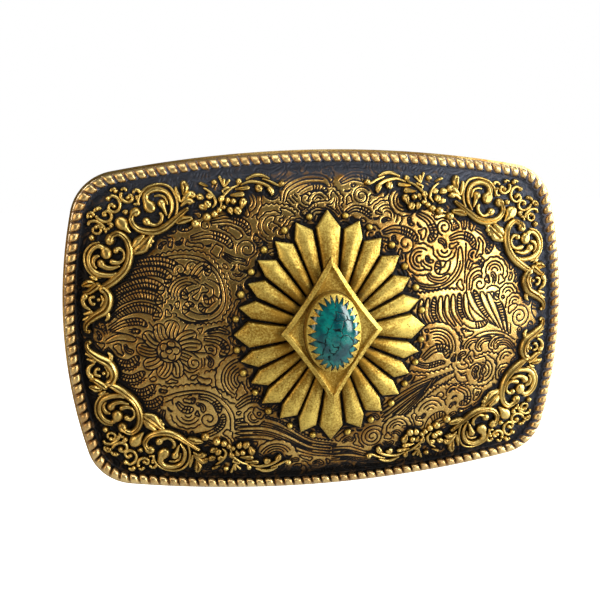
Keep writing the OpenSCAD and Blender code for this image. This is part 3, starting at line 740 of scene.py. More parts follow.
def fill_gaps(sizes):
    """Leaves and small shells wherever a patch of the field is still plain, large ones first."""
    edge = 3.4
    tries = 4000
    most_marks = 1.5
    corner = np.array([HALF_W - edge, HALF_H - edge])
    for r in sizes:
        total = np.pad(np.cumsum(np.cumsum(cuts, axis=0), axis=1), ((1, 0), (1, 0)))
        reach = int((r + 0.15) / CELL)
        taken = []
        for x, z in RNG.uniform(-corner, corner, (tries, 2)):
            row, col = int((z + HALF_H) / CELL), int((x + HALF_W) / CELL)
            top, low = min(row + reach, ROWS), max(row - reach, 0)
            right, left = min(col + reach, COLS), max(col - reach, 0)
            marks = total[top, right] - total[low, right] - total[top, left] + total[low, left]
            close = any(math.hypot(x - a, z - b) < 2 * r + 0.2 for a, b in taken)
            if marks > most_marks or close:
                continue
            taken.append((x, z))
            flourish(x, z, r, math.degrees(math.atan2(z * 1.6, x)) + RNG.uniform(50, 130))


def flourish(x, z, r, turn):
    """One leaf that bends round its middle, or a small shell, or two strokes."""
    a = math.radians(turn)
    out = np.array([math.cos(a), math.sin(a)]) * r
    at = np.array([x, z])
    bend = np.array([-out[1], out[0]]) * RNG.uniform(0.35, 0.6) * RNG.choice([-1, 1])
    if r > 1.4 and RNG.random() < 0.25:
        shell(at, 0.5, r, turn - 100, turn + 90, 2)
    elif r > 0.7:
        path = [at - out * 1.15, at + bend * 0.8, at + out * 1.1 - bend * 0.5]
        plume(path, 0.5 * r, 1.3 * r, 1, 0.5 * (r > 1))
    else:
        groove(np.array([at - out, at + bend * 0.6, at + out]))
        groove(np.array([at - out * 0.7 + bend, at + bend * 1.5, at + out * 0.8 + bend]))


def blurred(layer, radius):
    """The layer under a Gaussian blur of that radius in millimetres."""
    fz = np.fft.fftfreq(ROWS, CELL)[:, None]
    fx = np.fft.rfftfreq(COLS, CELL)[None]
    falloff = np.exp(-2 * (math.pi * radius) ** 2 * (fx**2 + fz**2))
    return np.fft.irfft2(np.fft.rfft2(layer) * falloff, s=layer.shape)


def widest(layer, reach):
    """The layer's largest value within that reach of each cell, in a square."""
    for axis in (0, 1):
        best = layer.copy()
        for shift in range(1, int(reach / CELL) + 1):
            np.maximum(best, np.roll(layer, shift, axis), out=best)
            np.maximum(best, np.roll(layer, -shift, axis), out=best)
        layer = best
    return layer


def echo_lines():
    """Lines that follow the motifs at a distance, with ladders of strokes between some of them,
    so that the gaps between motifs are filled the way an engraver fills them."""
    # a lone line's blur has this value beside it, so the blur's fall gives the distance
    spread = 0.45
    lone_line = 0.2
    near = np.clip(blurred(cuts, spread), 1e-9, lone_line)
    away = spread * np.sqrt(2 * np.log(lone_line / near))
    z, x = np.mgrid[0:ROWS, 0:COLS] * CELL
    away = away + 0.07 * np.sin(4.6 * x + 1.3 * z) * np.sin(4.2 * z - 1.1 * x)
    slope_z, slope_x = np.gradient(away, CELL)
    slope = np.maximum(np.hypot(slope_x, slope_z), 0.05)
    calm = slope > 0.35
    room = widest(away, 0.6)
    levels = (0.58, 1.15, 1.72, 2.3, 2.9)
    for level in levels:
        line = smooth(1.0, 0.4, np.abs(away - level) / slope / GROOVE_R)
        np.maximum(cuts, line * calm * (room > level + 0.1), out=cuts)
    # short strokes down the slope, in the best of eight directions
    stroke_gap = 0.5
    eighth = math.pi / 8
    turn = np.rint(np.arctan2(slope_z, slope_x) / eighth) * eighth
    across = -x * np.sin(turn) + z * np.cos(turn)
    off = np.abs((across / stroke_gap) % 1 - 0.5) * stroke_gap
    stroke = smooth(1.0, 0.35, off / GROOVE_R)
    patches = np.sin(0.55 * x + 0.2 * z) * np.sin(0.5 * z - 0.25 * x + 1) > 0.42
    for low, high in (levels[:2], levels[2:4]):
        band = (away > low) & (away < high) & patches & calm
        np.maximum(cuts, stroke * band, out=cuts)


engrave_left()
engrave_flower()
engrave_lower_left()
engrave_right()
engrave_lower_right()
engrave_top()
fill_gaps((2.4, 1.9, 1.5, 1.2, 0.95, 0.75, 0.6))
echo_lines()
fill_gaps((1.2, 0.95, 0.78, 0.62, 0.5))

# Applied ornament -----------------------------------------------------------------------

RIBBON_STEP = 0.22
ACROSS = 10
# All bands are this much wider than their widths say
BOLD = 1.15
# A band narrower than this stands lower, a wider one higher
FULL_WIDTH = 1.1


def ribbon(piece, points, widths, height=SCROLL_H, head=0.0, vein=0.0):
    """Half-round cast band along a curve, with a width for each point and round ends. A head
    is the width of a round blob that the band starts from, like a comma's. A vein is the
    share of the height that a crease down the middle takes away."""
    widths = np.asarray(widths) * BOLD
    path, knots = curve(points, 0.1)
    along = run_length(path)
    length = along[-1]
    blob = head / 2 * BOLD
    ends = [min(max(widths[0] / 2, blob), length / 2), min(widths[-1] / 2, length / 2)]
    bow = 1 - np.cos(np.linspace(0, math.pi / 2, 5))
    middle = np.arange(ends[0], length - ends[1], RIBBON_STEP)[1:]
    stops = np.r_[ends[0] * bow, middle, length - ends[1] * bow[::-1]]
    spine = at_distance(path, stops)
    width = np.interp(np.interp(stops, along, knots), np.arange(len(widths)), widths)
    into = np.minimum(stops / max(ends[0], 1e-6), (length - stops) / max(ends[1], 1e-6))
    into = np.clip(into, 0, 1)
    cap = np.sqrt(1 - (1 - into) ** 2)
    half = width / 2 * cap
    if blob:
        half = np.maximum(half, np.sqrt(np.clip(blob**2 - (stops - blob) ** 2, 0, None)))
    rise = height * np.clip(2 * half / FULL_WIDTH, 0.0, 1.7) ** 0.5
    u = np.sin(np.linspace(-math.pi / 2, math.pi / 2, ACROSS + 1))
    dome = np.sqrt(1 - np.abs(u) ** 2.3)
    side = sideways(spine)
    flat = spine[:, None] + side[:, None] * (half[:, None] * u)[..., None]
    skin = front_y(flat[..., 0], flat[..., 1])
    crease = vein * (np.arange(ACROSS + 1) == ACROSS // 2) * smooth(0.2, 1, into)[:, None]
    top = np.stack([flat[..., 0], skin - rise[:, None] * dome * (1 - crease), flat[..., 1]], axis=-1)
    foot = np.stack([flat[..., 0], skin + SINK, flat[..., 1]], axis=-1)[:, [-1, 0]]
    # painted shade that deepens down the flanks from the crest, and oxide in the crease
    hollow = 0.9 * ((1 - dome) ** 2.2)[None] + 2.2 * crease
    ones = np.ones((len(spine), 2))
    piece.tube(np.concatenate([top, foot], axis=1), np.concatenate([hollow, ones], axis=1))
    for flip in QUARTERS.values():
        blot(footprint, spine[::2] * flip, half[::2] + 0.25, 1)


def ball(piece, x, z, radius, height=None):
    """Cast bead that stands on the plate."""
    height = height or radius * 1.3
    rise = np.linspace(0, math.pi / 2, 6)
    around = np.linspace(0, 2 * math.pi, 14, endpoint=False)
    r = radius * np.cos(rise)[:, None]
    px, pz = x + r * np.cos(around), z + r * np.sin(around)
    py = front_y(x, z) - height * np.sin(rise)[:, None] + 0 * px
    rings = np.stack([px, py, pz], axis=-1)
    foot = rings[:1] + [0, SINK, 0]
    # painted shade that deepens towards the bead's foot
    hollow = np.repeat((1 - np.sin(rise))[:, None] ** 2, len(around), axis=1) * 0.8
    piece.tube(np.concatenate([foot, rings]), np.concatenate([hollow[:1] + 0.2, hollow]))


def corner_quarter():
    piece = Body()
    # upper volute: thin outer ridge, main band from its blob, inner arcs and comma
    ribbon(piece, [(33.9, 23.6), (33.8, 25.2), (32.6, 26.7), (30.4, 27.4), (28.4, 26.9),
                   (27.3, 25.2), (27.1, 23.2), (27.6, 21.4), (28.4, 20.4)],
           [0.3, 0.5, 0.5, 0.5, 0.5, 0.5, 0.5, 0.4, 0.3], 0.75)
    ribbon(piece, [(31.2, 22.5), (32.2, 23.7), (32.7, 25.1), (32, 26.1), (30.5, 26.5),
                   (28.9, 25.9), (28.1, 24.4), (28.1, 22.8), (28.8, 21.2)],
           [1.2, 1.3, 1.15, 1.05, 1, 0.85, 0.8, 0.7, 0.4], head=2.1, vein=0.12)
    ribbon(piece, [(31.2, 25.2), (30.2, 25.4), (29.2, 24.9), (28.8, 23.6)], [0.4, 0.5, 0.5, 0.35], 0.65)
    ribbon(piece, [(30.2, 24.7), (29.6, 23.3), (29, 21.7)], [1, 0.9, 0.35], head=1.4)
    ribbon(piece, [(33.6, 22.4), (34.8, 22.4), (35.4, 21.1), (34.4, 19.6), (32.7, 19), (31, 19),
                   (29.4, 19.7), (28.2, 20.6), (26.6, 21.9), (25.1, 23.1)],
           [0.9, 0.9, 0.95, 1.1, 1.25, 1.3, 1.3, 1.15, 0.95, 0.7], head=1.7, vein=0.22)
    ribbon(piece, [(33.2, 21.4), (32.3, 20.5), (31.1, 20.1), (30.1, 20.8), (29.9, 21.8), (30.4, 22.4)],
           [0.8, 0.8, 0.6, 0.7, 0.7, 0.5], head=1.4)
    # lower volute
    ribbon(piece, [(41.2, 17.3), (42.7, 16.9), (43.9, 15.6), (44.2, 14), (43.8, 12.5),
                   (42.8, 11.3), (41.4, 10.8)], [0.3, 0.5, 0.5, 0.5, 0.5, 0.45, 0.3], 0.75)
    ribbon(piece, [(39.9, 14.2), (40.3, 15.7), (41.3, 16.6), (42.4, 16.2), (43.2, 15.1), (43.4, 13.7),
                   (42.8, 12.3), (41.5, 11.5), (39.6, 11.3), (38.4, 11.7)],
           [1.1, 1.1, 0.9, 0.85, 0.85, 0.85, 0.95, 1.05, 0.9, 0.5], head=2)
    ribbon(piece, [(41.3, 14.9), (42.3, 14.5), (42.6, 13.4), (42, 12.5)], [0.5, 0.85, 0.7, 0.4], 0.8)
    ribbon(piece, [(39.6, 16.7), (39.1, 18.2), (37.8, 18.8), (36.5, 17.8), (35.9, 16), (36.1, 14),
                   (36.9, 12.3), (38.3, 10.9), (40, 9.7), (41.8, 8.8)],
           [1, 1, 1.1, 1.15, 1.25, 1.3, 1.4, 1.5, 1.4, 0.9], head=1.7, vein=0.22)
    ribbon(piece, [(38.8, 15.3), (37.9, 16.1), (37, 15.4), (37.1, 14.2), (37.9, 13.6),
                   (39.1, 13.7), (39.5, 14.2)], [0.8, 0.8, 0.5, 0.5, 0.7, 1, 0.8], head=1.1)
    ribbon(piece, [(41.6, 14.1), (40.6, 12.9), (39.3, 12.6), (37.8, 13)], [1, 1, 0.8, 0.4], head=1.4)
    # teardrop and the jagged leaf between the volutes
    ribbon(piece, [(37.9, 21.6), (36.9, 20.3), (36.2, 19.5), (35.5, 18.8)],
           [1.6, 1.6, 1.1, 0.3], 0.9, head=2.2)
    ribbon(piece, [(35.5, 15.1), (33.7, 16.3), (31.9, 18.3)], [0.8, 2.3, 0.8], 0.65, vein=0.35)
    ribbon(piece, [(35.4, 16.2), (34.5, 17.3), (33.1, 18.5)], [0.5, 1.4, 0.7], 0.95)
    teeth = (
        ((35, 15.8), (34.5, 14.6)), ((34.3, 16), (33.5, 14.8)), ((33.6, 16.4), (32.6, 15.3)),
        ((32.9, 16.9), (31.7, 16.2)), ((32.5, 17.4), (31.2, 17.2)), ((32.4, 18), (31.2, 18.5)),
    )
    for foot, tip in np.array(teeth):
        ribbon(piece, [foot, tip + 0.2 * (foot - tip)], [1.3, 0.7], 0.6)
    # lace towards the corner
    lace = (
        ([(39.4, 24.9), (38.6, 25.5), (37.6, 25), (37.2, 23.9), (37.6, 22.9), (38.5, 22.6),
          (39.3, 23.2), (38.9, 24), (38.3, 23.6)], 0.6),
        ([(37.1, 26.2), (37, 25.2), (36.5, 24.5), (35.7, 24.3), (35, 24.8), (35.2, 25.5),
          (35.8, 25.4)], 0.6),
        ([(37, 26.4), (36.4, 26.8), (35.9, 26.2)], 0.55),
        ([(34.9, 25.8), (34.5, 26.4), (33.9, 26.4), (33.6, 25.8)], 0.6),
        ([(34.9, 24), (34.2, 23.9), (34, 24.6), (34.4, 25.1)], 0.5),
        ([(38.9, 26.2), (38.4, 26.7), (37.7, 26.6)], 0.6),
        ([(42, 22.6), (41.4, 23.4), (40.5, 23.2)], 0.6),
        ([(41.7, 22.1), (41.1, 21.3), (40, 20.9), (39, 21.3), (38.9, 22.2), (39.5, 22.8),
          (40.3, 22.4), (39.9, 21.8)], 0.6),
        ([(43.1, 21.5), (43, 22.3), (42.3, 22.6), (41.9, 21.9)], 0.55),
        ([(43.1, 20.2), (42.9, 20.9), (42, 21.1), (41.2, 20.8), (40.5, 20.2), (40.1, 19.3)], 0.6),
        ([(42.2, 20), (42.3, 19.2), (41.6, 18.8), (40.9, 19.2), (41, 20), (41.7, 20.3)], 0.55),
        ([(39.7, 20.4), (39.2, 20.6), (38.6, 20.2)], 0.5),
        ([(40.1, 18.8), (39.8, 19.6), (39.2, 19.6)], 0.5),
        ([(36.9, 22.4), (36.4, 22.8), (35.9, 22.5)], 0.5),
    )
    for points, width in lace:
        ribbon(piece, points, [width] * (len(points) - 1) + [width * 1.35], 0.85)
    knobs = (
        (39.3, 25, 0.5), (38.3, 23.6, 0.42), (35.8, 25.1, 0.4), (34.2, 25.2, 0.35),
        (41.3, 23.2, 0.42), (40, 22.1, 0.4), (42.5, 21.9, 0.35), (41.7, 20, 0.42),
        (42.6, 18.1, 0.55), (36.3, 22.4, 0.42), (39, 20.1, 0.42), (37.9, 26.3, 0.45),
        (40.6, 19.9, 0.35), (36.9, 25.8, 0.35),
    )
    for x, z, radius in knobs:
        ball(piece, x, z, radius * 1.15, 0.95)
    # buds beside the upper volute
    ribbon(piece, [(26, 28), (25.6, 26.6), (25.9, 25.2)], [1.1, 1.5, 0.5], vein=0.25)
    ribbon(piece, [(27.3, 26.9), (26.9, 25.4), (26.5, 24)], [0.4, 0.8, 0.4], 0.8)
    ribbon(piece, [(24.4, 26), (25.4, 25.1), (26.4, 24)], [1, 1.1, 0.4])
    ribbon(piece, [(24.1, 24.1), (25.3, 24.3), (26.5, 23.3)], [1.1, 1, 0.4])
    ribbon(piece, [(27.4, 20.3), (26.2, 20.9), (24.4, 21.2)], [0.6, 1.5, 0.8], vein=0.25)
    ball(piece, 24, 20.2, 0.85, 1.05)
    return piece


def side_quarter():
    piece = Body()
    ribbon(piece, [(42.5, 10), (43.8, 9.9), (45, 9.4)], [0.6, 1.5, 0.5], vein=0.3)
    ribbon(piece, [(43.5, 11.1), (42.7, 10.9), (42, 10.4)], [0.3, 1, 0.4], 0.7)
    ribbon(piece, [(41.5, 9.9), (42.6, 9.1), (43.8, 8.3), (44.9, 8.3)], [1.2, 1.3, 1, 0.4], vein=0.3)
    ribbon(piece, [(41.9, 8.9), (40.8, 8.6), (40.1, 7.1), (40.9, 5.1), (43, 3.8), (44.6, 2.4),
                   (44.7, 1.1), (43.8, 1.1)],
           [1.2, 1.3, 1.5, 1.7, 1.5, 1, 0.7, 0.9], head=1.5, vein=0.3)
    ribbon(piece, [(41.6, 7.8), (41.2, 6.8), (41.8, 5.6)], [0.4, 0.6, 0.3], 0.95)
    ribbon(piece, [(44, 7.9), (44.9, 7), (44.7, 5.8), (43.6, 5)], [0.7, 0.9, 0.8, 0.4], 0.8, head=1.2)
    ribbon(piece, [(42.6, 7.5), (43.6, 7.2), (43.4, 6.2), (42.6, 6.1)], [0.6, 0.6, 0.6, 0.8], 0.8)
    ribbon(piece, [(43.2, 4.7), (45.1, 4.2)], [1, 0.4], 0.7)
    ribbon(piece, [(43.7, 3.8), (45.3, 3.1)], [1, 0.4], 0.7)
    ribbon(piece, [(40.9, 4.9), (40.5, 3.7), (41.1, 2.9)], [1, 0.8, 0.3], 0.65)
    ball(piece, 42, 6.9, 0.45, 0.75)
    return piece


def spray_quarter():
    piece = Body()
    berries = (
        (21.9, 21.3, 0.85), (20.5, 21.8, 0.72), (19.6, 22.5, 0.6), (18.8, 23, 0.5),
        (20.3, 27.5, 0.6), (17, 24, 0.65),
    )
    for x, z, radius in berries:
        ball(piece, x, z, radius, radius * 1.2 + 0.15)
    # stems
    ribbon(piece, [(22.3, 26.6), (21, 25.6), (20.2, 24), (20.9, 22.9)], [0.35, 0.55, 0.6, 0.3], 0.75)
    ribbon(piece, [(19.4, 22.8), (19, 24.6), (18.4, 25.4), (17.2, 26.4), (15.8, 27)],
           [0.3, 0.5, 0.55, 0.5, 0.3], 0.75)
    ribbon(piece, [(17.6, 26.6), (18.2, 26.4), (18.9, 26), (18.6, 25.4)], [0.5, 0.5, 0.4, 0.3], 0.75)
    for tip in ((18.5, 28.2), (19.4, 28.7), (17.4, 28)):
        ribbon(piece, [(18.6, 26.6), tip], [0.3, 0.6], 0.7)
    # buds and leaves
    leaves = (
        ((24.8, 25.8), (23.9, 25), 1.1), ((25.3, 24.2), (24.1, 24.1), 1),
        ((23.5, 25.2), (22.4, 24.7), 1.1), ((21.8, 25.2), (20.9, 24.9), 1),
        ((22, 24.1), (21.4, 23.2), 1.1), ((23.1, 23.4), (22, 22.8), 1),
        ((19, 25), (19.3, 23.9), 1), ((15.7, 28), (16.1, 26.9), 0.9),
        ((15.1, 24.4), (15.6, 22.9), 1.2), ((16.6, 22.9), (16, 21.8), 1.2),
        ((17.8, 22.9), (17.4, 21.8), 1), ((17.9, 24.6), (18.2, 23.6), 0.8),
        ((15.2, 25.3), (17.2, 25.1), 0.9), ((14.2, 26.4), (16.3, 26.2), 0.75),
        ((12.6, 26.8), (12.1, 25.9), 1.2), ((10.4, 26.4), (9.9, 25.1), 0.9),
        ((22.9, 27.4), (21.6, 26.9), 0.6),
    )
    for start, stop, width in leaves:
        start, stop = np.array(start), np.array(stop)
        past = (stop - start) * 0.15
        ribbon(piece, [start - past, (start + stop) / 2, stop + past],
               [width, width, width * 0.4], 0.85, head=width * 1.15, vein=0.18)
    ribbon(piece, [(15.6, 26.9), (13.9, 27.5), (11.8, 27.2), (10, 26.2), (9.7, 25.2)],
           [0.3, 0.6, 0.65, 0.6, 0.4], 0.8)
    ribbon(piece, [(14.6, 27.9), (13, 28.6), (11.6, 28.6), (10.2, 28)], [0.4, 0.7, 0.7, 0.3], 0.75)
    ribbon(piece, [(11.6, 28), (10, 27.4), (8.9, 26.8), (8, 26.6)], [0.3, 0.5, 0.5, 0.4], 0.75)
    ball(piece, 8.1, 27, 0.65, 0.9)
    ribbon(piece, [(27.1, 26.9), (27, 25.6), (26.6, 24.6)], [0.3, 0.5, 0.3], 0.6)
    return piece


def ornament():
    casts = {"corner_scroll": corner_quarter(), "side_scroll": side_quarter(),
             "floral_spray": spray_quarter()}
    for kind, cast in casts.items():
        for place, (across, up) in QUARTERS.items():
            node = f"{kind}_{place}"
            twin = cast.mirrored(across, up)
            make(node + "_cast", twin, SCROLL, "plate", [node], 50)


# Rope border ----------------------------------------------------------------------------


def rope():
    """Slanted lobes round the margin, one roll that is pinched between them."""
    lobes = 150
    per_lobe = 14
    around = 16
    ledge = 0.45
    slant = 0.5
    count = lobes * per_lobe
    radius = (ROPE_W - ledge) / 2
    centre = outline(ledge + radius, count)
    out = outline(0, count)
    side = sideways(np.vstack([centre[-1:], centre, centre[:1]]))[1:-1]
    inward = np.where(np.sum(side * (out - centre), axis=1) > 0, -1, 1)
    side = side * inward[:, None]
    # the angle goes over the roll from its outer foot to its inner foot
    angle = np.linspace(0, math.pi, around + 1)
    inner = angle / math.pi
    phase = np.arange(count) / per_lobe
    beat = (phase[:, None] + slant * inner[None]) % 1.0
    pinch_width = 0.09 + 0.075 * inner
    pinch = np.exp(-((np.minimum(beat, 1 - beat) / pinch_width) ** 2))
    swell = np.sqrt(np.clip(np.sin(beat * math.pi), 0, 1))
    wear = 0.03 * np.sin(np.arange(count) * 0.013)[:, None]
    share = 0.9 - (0.2 + 0.35 * inner) * pinch + 0.12 * swell + wear
    across = -np.cos(angle) * radius * (1 - 0.3 * pinch * smooth(0.4, 1, inner))
    flat = centre[:, None] + side[:, None] * across[..., None]
    y = front_y(flat[..., 0], flat[..., 1]) - ROPE_H * np.sin(angle) ** 0.62 * share
    top = np.stack([flat[..., 0], y, flat[..., 1]], axis=-1)
    foot = np.stack([top[:, -1] + [0, SINK, 0], top[:, 0] + [0, SINK, 0]], axis=1)
    # oxide and painted shade in the pinches between lobes, deepest towards the inner side, and painted
    # shade down the roll's inner foot
    inner_foot_shade = 0.8 * (1 - np.sin(angle) ** 0.6) * (angle > math.pi / 2) * inner
    hollow = np.clip(pinch**0.7 * (0.38 + 0.62 * inner) + inner_foot_shade, 0, 1)
    hollow = np.concatenate([hollow, np.ones((count, 2))], axis=1)
    piece = Body()
    piece.tube(np.concatenate([top, foot], axis=1), hollow, wrap=True)
    make("rope_border_cast", piece, ROPE, "plate", ["rope_edge"], 60)


# Sunburst -------------------------------------------------------------------------------

# Each petal: the angles of its two sides and its tip, from the top, and then how far out its
# tip and its two shoulders are
TOP_PETAL = (-6.6, 6.6, 0, 22.1, 19.1, 19.1)
SIDE_PETAL = (81.4, 98.6, 90, 18, 15.5, 15.5)
QUARTER_PETALS = (
    (9.2, 20.2, 16.5, 20.8, 18.8, 18.1),
    (22.4, 34, 30.6, 19.4, 17.5, 16.6),
    (36.6, 48.4, 44.6, 18.8, 16.6, 15.9),
    (51, 63.2, 58.5, 17.7, 15.5, 15.2),
    (66.2, 78.4, 73.5, 17.6, 15.1, 15.1),
)
# Places of the beads in one quarter
QUARTER_BEADS = ((3.4, 20.9), (7.9, 18.6), (11.9, 15.3), (14.4, 11.3), (16.5, 7.3), (17.5, 2.85))
PETAL_IN = 6.2


def polar(radius, angle):
    a = math.radians(angle)
    return np.array([radius * math.sin(a), radius * math.cos(a)])


def petal(piece, shape, flip):
    """Crowned petal with a bevelled edge, from under the diamond to its pointed tip."""
    first, last, tip, tip_r, r1, r2 = shape
    corners = np.array([polar(PETAL_IN, first), polar(r1, first), polar(tip_r, tip),
                        polar(r2, last), polar(PETAL_IN, last)]) * flip
    up_side = np.linspace(0, 1, 26)[:, None]
    up_tip = np.linspace(0, 1, 13)[1:, None]

    def long_edge(foot, shoulder):
        return np.vstack([foot + (shoulder - foot) * up_side,
                          shoulder + (corners[2] - shoulder) * up_tip])

    left = long_edge(corners[0], corners[1])
    right = long_edge(corners[4], corners[3])
    share = np.array([0, 0.03, 0.08, 0.15, 0.25, 0.37, 0.5, 0.63, 0.75, 0.85, 0.92, 0.97, 1])
    flat = left[:, None] + (right - left)[:, None] * share[None, :, None]
    blot(footprint, flat[::2, ::2].reshape(-1, 2), 0.4, 1)
    away = np.full(flat.shape[:2], 99.0)
    for a, b in zip(corners[:4], corners[1:]):
        d = (b - a) / np.linalg.norm(b - a)
        off = np.abs((flat[..., 0] - a[0]) * d[1] - (flat[..., 1] - a[1]) * d[0])
        away = np.minimum(away, off)
    radius = np.linalg.norm(flat, axis=-1)
    point = smooth(min(r1, r2) - 1, tip_r + 0.6, radius)
    bevel = 1 - np.exp(-((away / 0.16) ** 1.3))
    crown = 0.4 * smooth(-0.3, 1.9, away)
    worn = 0.025 * np.sin(flat[..., 0] * 2.1 + first) * np.sin(flat[..., 1] * 1.7 + tip)
    rise = PETAL_H * (0.66 + 0.2 * bevel) * (1 - 0.2 * point) + crown + worn
    y = front_y(flat[..., 0], flat[..., 1])
    top = np.stack([flat[..., 0], y - rise, flat[..., 1]], axis=-1)
    # the walls lean out a little towards the plate
    foot = np.stack([flat[..., 0], y + SINK, flat[..., 1]], axis=-1)[:, [-1, 0]]
    foot = foot + (foot[:, 0] - foot[:, 1])[:, None] * [[[0.03], [-0.03]]]
    # darker towards the hub under the diamond, partly painted shade and partly antiquing, a little darker
    # along the edges, and painted shade on the walls in the gaps between petals
    hollow = 0.48 * smooth(15, 7.5, radius) + 0.14 * smooth(1.1, 0.2, away) * smooth(19, 15, radius)
    hollow = np.concatenate([hollow, np.full((len(flat), 2), 0.95)], axis=1)
    piece.tube(np.concatenate([top, foot], axis=1), hollow)


def sunburst():
    piece = Body()
    for flip in sorted(QUARTERS.values()):
        for shape in QUARTER_PETALS:
            petal(piece, shape, flip)
    for s in (-1, 1):
        petal(piece, TOP_PETAL, (1, s))
        petal(piece, SIDE_PETAL, (s, 1))
    hub_r = 7.2
    hub_foot = DOME_H - 0.6
    profile = [(0.01, HUB_TOP), (hub_r - 0.2, HUB_TOP), (hub_r, HUB_TOP - 0.2), (hub_r, hub_foot),
               (0.01, hub_foot)]
    turned(piece, 0, 0, profile, 64, 0.6)
    make("sunburst_cast", piece, BRIGHT, "plate", ["sunburst"], 32)


def turned(piece, x, z, profile, sides, hollow=0.0):
    """Round piece about an axis along Y: profile is (radius, height over the rim)."""
    a = np.linspace(0, 2 * math.pi, sides, endpoint=False)
    rings = [
        np.column_stack([x + r * np.cos(a), np.full(sides, RIM_Y - h), z + r * np.sin(a)])
        for r, h in profile
    ]
    piece.tube(rings, np.full((len(rings), sides), hollow))


def beads():
    piece = Body()
    for across, up in sorted(QUARTERS.values()):
        for x, z in QUARTER_BEADS:
            dx, dz = RNG.normal(0, 0.06, 2)
            at = (x * across + dx, z * up + dz)
            radius = RNG.uniform(0.62, 0.7)
            ball(piece, *at, radius, 0.8)
            blot(footprint, [at], radius, 1)
    make("beads_cast", piece, BRIGHT, "plate", ["bead_ring"], 60)


# Diamond, bezel and stone ---------------------------------------------------------------

DIAMOND_W, DIAMOND_H = 9.35, 13.65
SIDE_WAIST = 0.475
# The setting sits a little off the plate's middle
SEAT = np.array([-0.3, 0, 0.3])


def diamond():
    """Dished plate with a raised rim that slopes outward, drawn in along its sides."""
    steps = 22
    t = np.linspace(0, 1, steps, endpoint=False)[:, None]
    corners = np.array([[DIAMOND_W, 0], [0, DIAMOND_H], [-DIAMOND_W, 0], [0, -DIAMOND_H]])
    loop = []
    for a, b in zip(corners, np.roll(corners, -1, axis=0)):
        middle = (a + b) * SIDE_WAIST
        handle = 2 * middle - (a + b) / 2
        loop.append((1 - t) ** 2 * a + 2 * t * (1 - t) * handle + t**2 * b)
    loop = np.vstack(loop)
    reach = DIAMOND_W * DIAMOND_H / math.hypot(DIAMOND_W, DIAMOND_H)
    # up the wall: inset, height over the plate's rim, and how much oxide and painted shade it takes
    profile = [(0.1, HUB_TOP - 0.35, 1), (0, HUB_TOP, 0.9)]
    # then in over the diamond's own rim, with the height as a share of that rim's
    rim = 0.4
    # the last column: painted shadow on the wall and at the rim's inner slope, and painted shade with
    # oxide on the floor round the bezel
    for inset, share, oxide_and_shade_level in (
        (0, 0.25, 0.3), (0, 0.36, 0), (0.07, 0.48, 0), (0.4, 0.74, 0), (0.74, 1, 0), (0.82, 0.95, 0),
        (0.98, 0.5, 0.2), (1.2, 0.15, 0.4), (1.6, 0.04, 0.34), (2.3, 0, 0.26), (3.2, -0.125, 0.34),
        (5, 0, 0.6), (7.2, 0, 0.6),
    ):
        profile.append((inset, DIAMOND_FLOOR + rim * share, oxide_and_shade_level))
    rings, hollow = [], []
    for inset, height, oxide_and_shade_level in profile:
        p = loop * (1 - inset / reach)
        worn = 0.02 * np.sin(p[:, 0] * 1.9) * np.sin(p[:, 1] * 1.4)
        rings.append(np.column_stack([p[:, 0], RIM_Y - height - worn, p[:, 1]]) + SEAT)
        hollow.append(np.full(len(p), oxide_and_shade_level))
    piece = Body()
    piece.tube(rings, hollow)
    make("diamond_dished", piece, BRIGHT, "plate", ["diamond_plate"], 30)


STONE_W, STONE_H = 4.65, 6.85
TEETH = 26
STEPS_PER_TOOTH = 12


def oval(count):
    a = np.linspace(0, 2 * math.pi, count, endpoint=False)
    return np.column_stack([STONE_W * np.cos(a), STONE_H * np.sin(a)])


def stone_top(places):
    """Height of the domed stone over the rim."""
    share = np.hypot(places[:, 0] / STONE_W, places[:, 1] / STONE_H)
    return STONE_EDGE + (STONE_TOP - STONE_EDGE) * np.clip(1 - share**2.7, 0, 1) ** 0.62


def bezel():
    """Thin oval wall, cut into teeth that are bent in over the stone's edge."""
    n = TEETH * STEPS_PER_TOOTH
    saw = 1 - np.abs((np.arange(n) / STEPS_PER_TOOTH % 1.0) * 2 - 1)
    wall = 0.32
    tooth = 1.15
    thickness = 0.12
    shoulder = STONE_EDGE + 0.15
    loop = oval(n)
    out = loop / np.array([STONE_W, STONE_H]) ** 2
    out /= np.linalg.norm(out, axis=1)[:, None]
    rings, hollow = [], []

    def ring_at(extra, height, oxide_and_shade_level, on_stone=False):
        p = loop + out * np.broadcast_to(extra, (n,))[:, None]
        if on_stone:
            height = height + np.maximum(stone_top(p) - shoulder + 0.1, 0)
        y = RIM_Y - np.broadcast_to(height, (n,))
        rings.append(np.column_stack([p[:, 0], y, p[:, 1]]) + SEAT)
        hollow.append(np.full(n, oxide_and_shade_level))

    # dark up the foot of the ring: painted shadow round the bezel; the teeth's undersides also take
    # painted shade
    ring_at(0.15, DIAMOND_FLOOR - 0.2, 1)
    ring_at(wall + 0.42, DIAMOND_FLOOR - 0.2, 0.95)
    ring_at(wall + 0.38, DIAMOND_FLOOR + 0.05, 0.8)
    ring_at(wall + 0.2, DIAMOND_FLOOR + 0.25, 0.45)
    ring_at(wall + 0.14, shoulder - 0.5, 0.15)
    ring_at(wall + 0.04, shoulder - 0.05, 0)
    # out along the teeth and back under them
    for u in (0.2, 0.45, 0.7, 1.0):
        ring_at(wall - 0.05 - (tooth + wall) * saw * u, shoulder, 0.1 * u, True)
    for u in (1.0, 0.6, 0.2):
        under = (tooth - 0.02 + wall) * saw * u
        ring_at(wall - 0.1 - under, shoulder - thickness, 0.9, True)
    ring_at(0.06, shoulder - 0.4, 1)
    piece = Body()
    piece.add(rings, grid_faces(len(rings), n, True, True), np.concatenate(hollow))
    make("bezel_toothed", piece, BRIGHT, "plate", ["bezel_cup"], 35)


